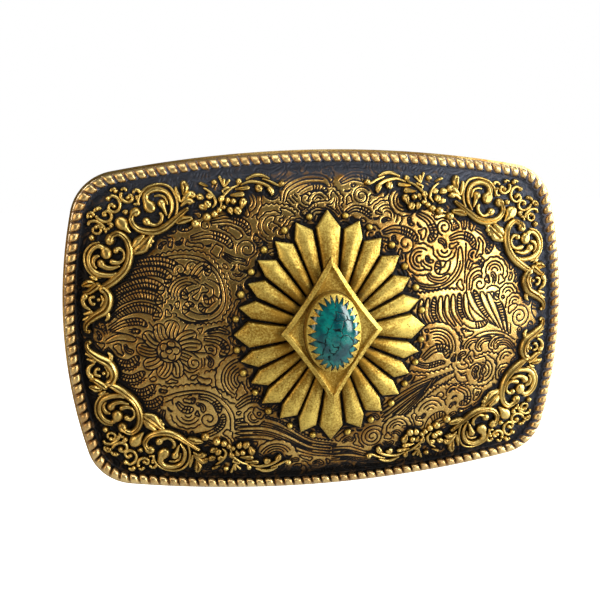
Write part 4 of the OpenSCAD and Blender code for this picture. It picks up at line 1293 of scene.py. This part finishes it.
def stone(material):
    """Polished oval dome; the hollow attribute marks its edge with painted shadow and dirt."""
    n = 96
    edge = 0.1
    levels = np.radians(np.linspace(0, 88, 22))
    loop = oval(n)
    sections = [(loop * 0.97, STONE_BASE), (loop, STONE_BASE + edge)]
    sections += [(loop * math.cos(a), stone_top(loop * math.cos(a))) for a in levels]
    rings = [np.column_stack([flat[:, 0], RIM_Y - np.broadcast_to(height, (n,)), flat[:, 1]])
             for flat, height in sections]
    shade = np.r_[1, 1, 0.9 * smooth(40, 6, np.degrees(levels))]
    piece = Body()
    piece.tube(np.array(rings) + SEAT, np.repeat(shade[:, None], n, axis=1))
    make("stone_polished", piece, material, "plate", ["cabochon"], 70)


# Plate ----------------------------------------------------------------------------------


def plate_grid(nu, nv):
    """Grid that fills the outline, blended from its four sides."""
    quarter, middle = quarter_outline(0)
    side, upper = quarter[: middle + 1], quarter[middle:]
    right = evenly(np.vstack([side[::-1] * [1, -1], side[1:]]), nv + 1)
    top = evenly(np.vstack([upper * [-1, 1], upper[-2::-1]]), nu + 1)
    left, bottom = right * [-1, 1], top * [1, -1]
    u = np.linspace(0, 1, nu + 1)[None, :, None]
    v = np.linspace(0, 1, nv + 1)[:, None, None]
    sides = (1 - v) * bottom[None] + v * top[None] + (1 - u) * left[:, None] + u * right[:, None]
    low = (1 - u) * bottom[0] + u * bottom[-1]
    high = (1 - u) * top[0] + u * top[-1]
    return sides - (1 - v) * low - v * high


def sampled(table, step, x, z):
    """Value at each place of a table that has one value every step over the plate's box."""
    c = np.clip((x + HALF_W) / step, 0, table.shape[1] - 1.001)
    r = np.clip((z + HALF_H) / step, 0, table.shape[0] - 1.001)
    c0, r0 = c.astype(int), r.astype(int)
    fc, fr = c - c0, r - r0
    low = table[r0, c0] * (1 - fc) + table[r0, c0 + 1] * fc
    high = table[r0 + 1, c0] * (1 - fc) + table[r0 + 1, c0 + 1] * fc
    return low * (1 - fr) + high * fr


def rim_distance(x, z):
    """Distance in from the outline, from a coarse table of the true distance."""
    loop = outline(0, 900)
    step = 0.7
    gx = np.arange(-HALF_W, HALF_W + step, step)
    gz = np.arange(-HALF_H, HALF_H + step, step)
    table = [[np.min(np.hypot(loop[:, 0] - a, loop[:, 1] - b)) for a in gx] for b in gz]
    return sampled(np.array(table), step, x, z)


def front_skin(flat):
    """The front with its engraving and the channel inside the rope, and its oxide and painted shade."""
    x, z = flat[..., 0], flat[..., 1]
    inset = rim_distance(x, z)
    cut = np.clip(1.2 * sampled(blurred(cuts, 0.035), CELL, x, z), 0, 1)
    cut = cut * (0.8 + 0.2 * smooth(3.2, 5.2, inset)) * smooth(2.5, 3.0, inset)
    channel = smooth(2.2, 2.6, inset) * smooth(4.2, 3.2, inset)
    y = front_y(x, z) + GROOVE_DEPTH * cut + CHANNEL_DEPTH * channel
    # painted shade towards the rim beside the rope, round the sunburst and round the applied ornament;
    # the ground is also darker towards the left end
    towards_rim = 0.56 * smooth(6.4, 4.6, inset) + 0.1 * smooth(4.2, 3.0, inset)
    around_burst = 0.28 * smooth(1.16, 1.0, np.hypot(x / 18.6, z / 21.4))
    left_end = 0.26 * smooth(14, 6, inset) * smooth(-22, -36, x)
    ornament_shade = np.clip(1.9 * sampled(blurred(footprint, 0.5), CELL, x, z), 0, 1)
    ground_shade_and_grime = np.maximum.reduce([towards_rim, around_burst, left_end, ornament_shade])
    ground_shade_and_grime = ground_shade_and_grime * smooth(0.3, 0.6, inset) + 0.42 * smooth(0.2, 0.05, inset)
    hollow = np.clip(np.maximum(cut**0.75, ground_shade_and_grime) + 0.5 * cut * ground_shade_and_grime, 0, 1)
    return np.stack([x, y, z], axis=-1), hollow


def back_skin(flat):
    """The plain back, with a low lip inside its edge."""
    x, z = flat[..., 0], flat[..., 1]
    inset = rim_distance(x, z)
    rounding = 0.3 * smooth(0.5, 0, inset)
    lip = 0.4 * smooth(0.3, 1.1, inset) * smooth(3.4, 2.2, inset)
    y = front_y(x, z) + PLATE_T + lip - rounding
    hollow = 0.12 + 0.12 * smooth(2.2, 3.4, inset) * smooth(5.6, 3.8, inset) + rounding
    return np.stack([x, y, z], axis=-1), hollow


def base_plate():
    columns, rows = 704, 476
    # one step along the back for this many along the front
    coarse = 4
    flat = plate_grid(columns, rows)
    front, hollow = front_skin(flat)
    piece = Body()
    piece.add(front, grid_faces(rows + 1, columns + 1), hollow.reshape(-1))
    base = piece.count
    back, hollow = back_skin(flat[::coarse, ::coarse])
    faces = grid_faces(*back.shape[:2])
    piece.add(back, [face[::-1] for face in faces], hollow.reshape(-1))
    front_loop = edge_loop(rows + 1, columns + 1)
    back_loop = [base + i for i in edge_loop(*back.shape[:2])]
    for k, a in enumerate(back_loop):
        b = back_loop[(k + 1) % len(back_loop)]
        f = [front_loop[(k * coarse + j) % len(front_loop)] for j in range(coarse + 1)]
        piece.faces += [[a, f[1], f[0]], [a, f[2], f[1]], [a, b, f[2]], [b, f[3], f[2]],
                        [b, f[4], f[3]]]
    make("plate_engraved", piece, ENGRAVED, "plate", ["base_plate"], 60,
         mend=False)


def edge_loop(rows, cols):
    """Indices round the edge of a grid, against the clock from its first corner."""
    bottom = list(range(cols - 1))
    right = [r * cols + cols - 1 for r in range(rows - 1)]
    top = [(rows - 1) * cols + c for c in range(cols - 1, 0, -1)]
    left = [r * cols for r in range(rows - 1, 0, -1)]
    return bottom + right + top + left


# Fittings on the back -------------------------------------------------------------------

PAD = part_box("peg_pad")
PAD_FACE = PAD[1].y / MM
PAD_R = (PAD[1].x - PAD[0].x) / 2 / MM
PEG_X = 30.0
PEG_LEAN = math.radians(15)
SHANK_R, SHANK_L = 2.0, 6.0
SHOULDER_R, SHOULDER_H = 2.7, 1.2


def rivet():
    """Domed head on the back, with a shank that goes through to the diamond."""
    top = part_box("centre_rivet")[1]
    r = top.x / MM
    end = RIM_Y - top.y / MM
    under = end + 0.9
    shank = 1.2
    shank_end = DIAMOND_FLOOR - 0.1
    piece = Body()
    profile = [(0.01, end), (r * 0.55, end + 0.05), (r * 0.82, end + 0.22), (r * 0.96, end + 0.5),
               (r, under - 0.05), (r + 0.25, under + 0.1), (shank, under + 0.1),
               (shank, shank_end), (0.01, shank_end)]
    turned(piece, 0, 0, profile, 48, 0.2)
    make("centre_rivet_turned", piece, FITTING, "plate", ["centre_rivet"], 40)


def peg_pad():
    """Round pad, with solder that runs out a little unevenly round its foot."""
    r = PAD_R
    face = RIM_Y - PAD_FACE
    sides = 72
    piece = Body()
    profile = [(0.01, face), (r - 0.45, face), (r - 0.12, face + 0.12), (r, face + 0.45),
               (r, face + 1.2)]
    turned(piece, PEG_X, 0, profile, sides, 0.1)
    a = np.linspace(0, 2 * math.pi, sides, endpoint=False)
    lump = 0.12 * np.sin(5 * a) + 0.08 * np.sin(11 * a + 1)
    solder = []
    # how far out from the pad, how far off the plate, and whether it is uneven
    for extra, lift, uneven in ((0, 1.1, 0), (0.12, 0.55, 1), (0.45, 0.2, 1), (1, 0.02, 1),
                                (1.2, -0.3, 0), (-1, -0.3, 0)):
        x = PEG_X + (r + extra + uneven * lump) * np.cos(a)
        z = (r + extra + uneven * lump) * np.sin(a)
        back = front_y(x, z) + PLATE_T
        y = np.minimum(back + lift * (PAD_FACE - back > 0.2), PAD_FACE - 0.3)
        solder.append(np.column_stack([x, y, z]))
    piece.tube(solder, np.full((len(solder), sides), 0.45))
    make("peg_pad_soldered", piece, FITTING, "plate", ["peg_pad"], 40)


def belt_peg():
    """Plain peg with a round end, on a shoulder, that leans towards the bail."""
    top = SHOULDER_H + SHANK_L
    profile = [(0.01, -0.9), (SHOULDER_R, -0.9), (SHOULDER_R, 0.9), (SHOULDER_R - 0.12, 1.1),
               (SHOULDER_R - 0.35, SHOULDER_H), (SHANK_R + 0.12, SHOULDER_H + 0.02),
               (SHANK_R, SHOULDER_H + 0.15)]
    profile += [(SHANK_R, SHOULDER_H + SHANK_L * k / 6) for k in range(1, 6)]
    profile += [(SHANK_R * math.cos(b), top + SHANK_R * math.sin(b))
                for b in np.linspace(0, 1.55, 12)]
    piece = Body()
    turned(piece, 0, 0, [(r, RIM_Y - height) for r, height in profile], 56)
    x, y, z = piece.verts[0].T
    along, aside = math.cos(PEG_LEAN), math.sin(PEG_LEAN)
    piece.verts = [np.column_stack([PEG_X + x * along - y * aside,
                                    PAD_FACE + x * aside + y * along, z])]
    piece.hollow = [np.where(y < SHOULDER_H + 0.3, 0.4, 0.0)]
    make("belt_peg_turned", piece, FITTING, "plate", ["belt_peg"], 40)


def lug(node):
    """Eye of the hinge: a rounded block with a bore, flared where it meets the plate."""
    low, high = np.array([list(corner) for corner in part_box(node)]) / MM
    r = (high[0] - low[0]) / 2
    centre = np.array([(low[0] + high[0]) / 2, high[1] - r])
    foot = low[1] - 0.1 - centre[1]
    bore = 1.35
    flare = [(r + 0.5 * share**2, foot * share) for share in (1 / 3, 2 / 3, 1)]
    spokes = [(r * math.cos(a), r * math.sin(a)) for a in np.linspace(0, math.pi, 40)]
    spokes += [(-out, down) for out, down in flare]
    spokes += [(out, down) for out, down in flare[::-1]]
    spokes = np.array(spokes)
    away = spokes / np.linalg.norm(spokes, axis=1)[:, None]
    outer = centre + spokes
    inner = centre + bore * away
    # rings from the lower face over the outside to the upper face, and back down the bore
    bevel = ((0, 0.27), (0.07, 0.135), (0.15, 0.03), (0.3, 0))
    chamfer = 0.15
    rows = [(outer - away * inset, low[2] + rise) for rise, inset in bevel]
    rows += [(outer - away * inset, high[2] - rise) for rise, inset in bevel[::-1]]
    rows += [(inner + away * chamfer, high[2]), (inner, high[2] - chamfer),
             (inner, low[2] + chamfer), (inner + away * chamfer, low[2])]
    rings = np.array([np.column_stack([flat, np.full(len(flat), z)]) for flat, z in rows])
    hollow = np.where(rings[..., 1] < centre[1] - 1.5, 0.6, 0.1)
    hollow[-4:] = 0.8
    piece = Body()
    piece.add(rings, grid_faces(*rings.shape[:2], True, True), hollow.reshape(-1))
    make(node + "_eye", piece, FITTING, "plate", [node], 35)


def keep(node, material):
    """A frame solid whose shape is right keeps its mesh and takes a finish."""
    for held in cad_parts[node].material_slots:
        held.material = material


ornament()
rope()
sunburst()
beads()
base_plate()
diamond()
bezel()
stone(turquoise())
rivet()
peg_pad()
belt_peg()
lug("bail_lug_upper")
lug("bail_lug_lower")
keep("bail", WIRE)
keep("stone_bed", pitch())

# Studio ---------------------------------------------------------------------------------

CAMERA_AT = Vector((-23.66, -125.06, 26.60)) * MM
LOOK = Vector((0.14483, 0.97529, -0.16685))
UP = Vector((0.0456, 0.16187, 0.98576))
LENS = 40.59


def camera():
    lens = bpy.data.cameras.new("camera")
    lens.lens = LENS
    lens.sensor_width = 36
    lens.clip_start = 0.01
    lens.clip_end = 50
    eye = bpy.data.objects.new("camera", lens)
    right = LOOK.cross(UP).normalized()
    up = right.cross(LOOK).normalized()
    turn = Matrix((right, up, -LOOK.normalized())).transposed()
    eye.matrix_world = Matrix.Translation(CAMERA_AT) @ turn.to_4x4()
    bpy.context.scene.collection.objects.link(eye)
    bpy.context.scene.camera = eye


def softbox(name, towards, distance, size, power, colour=(1, 1, 1)):
    lamp = bpy.data.lights.new(name, "AREA")
    lamp.shape = "RECTANGLE"
    lamp.size, lamp.size_y = size
    lamp.energy = power
    lamp.color = colour
    box = bpy.data.objects.new(name, lamp)
    at = Vector(towards).normalized() * distance
    box.location = at
    box.rotation_euler = (-at).to_track_quat("-Z", "Y").to_euler()
    bpy.context.scene.collection.objects.link(box)


def studio():
    softbox("key", (0.66, -0.72, 0.16), 0.6, (0.2, 0.4), 3.4)
    softbox("overhead", (0.1, -0.35, 1), 0.6, (0.5, 0.3), 2.4, (0.88, 0.95, 1))
    softbox("left_fill", (-0.9, -0.5, 0.25), 0.7, (0.25, 0.5), 2.15, (1, 0.81, 0.58))
    softbox("right_rim", (1, -0.08, 0.14), 0.6, (0.2, 0.5), 5.4, (0.86, 0.93, 1))
    softbox("back_right", (0.9, 0.8, 0.5), 0.8, (0.4, 0.4), 3)
    softbox("back_left", (-0.9, 0.9, 0.4), 0.8, (0.4, 0.4), 3)
    softbox("below", (0.2, -0.6, -0.9), 0.7, (0.3, 0.2), 0.3)
    world = bpy.data.worlds.new("studio")
    world.use_nodes = True
    tree = world.node_tree
    tree.nodes.clear()
    out = tree.nodes.new("ShaderNodeOutputWorld")
    seen = tree.nodes.new("ShaderNodeBackground")
    seen.inputs[0].default_value = (1, 1, 1, 1)
    seen.inputs[1].default_value = 1.0
    room = tree.nodes.new("ShaderNodeBackground")
    room.inputs[0].default_value = (0.93, 0.96, 1, 1)
    room.inputs[1].default_value = 0.15
    path = tree.nodes.new("ShaderNodeLightPath")
    mix = tree.nodes.new("ShaderNodeMixShader")
    tree.links.new(path.outputs["Is Camera Ray"], mix.inputs[0])
    tree.links.new(room.outputs[0], mix.inputs[1])
    tree.links.new(seen.outputs[0], mix.inputs[2])
    tree.links.new(mix.outputs[0], out.inputs["Surface"])
    bpy.context.scene.world = world
    bpy.context.scene.view_settings.view_transform = "Standard"


def floor():
    drop = 0.16
    half = 6.0
    mesh = bpy.data.meshes.new("floor")
    corners = [(-half, -half, -drop), (half, -half, -drop), (half, half, -drop), (-half, half, -drop)]
    mesh.from_pydata(corners, [], [(0, 1, 2, 3)])
    s = Shader("pale_floor")
    tint = s.mix(s.noise(8, 5), (0.5, 0.5, 0.49, 1), (0.54, 0.54, 0.53, 1))
    glow = s.node("ShaderNodeLightPath").outputs["Is Camera Ray"]
    mesh.materials.append(s.surface(Base_Color=tint, Roughness=0.75, Emission_Color=(1, 1, 1, 1),
                                    Emission_Strength=glow, Normal=s.bump(s.noise(300), 0.0002)))
    ground = bpy.data.objects.new("floor", mesh)
    bpy.context.scene.collection.objects.link(ground)


camera()
studio()
floor()
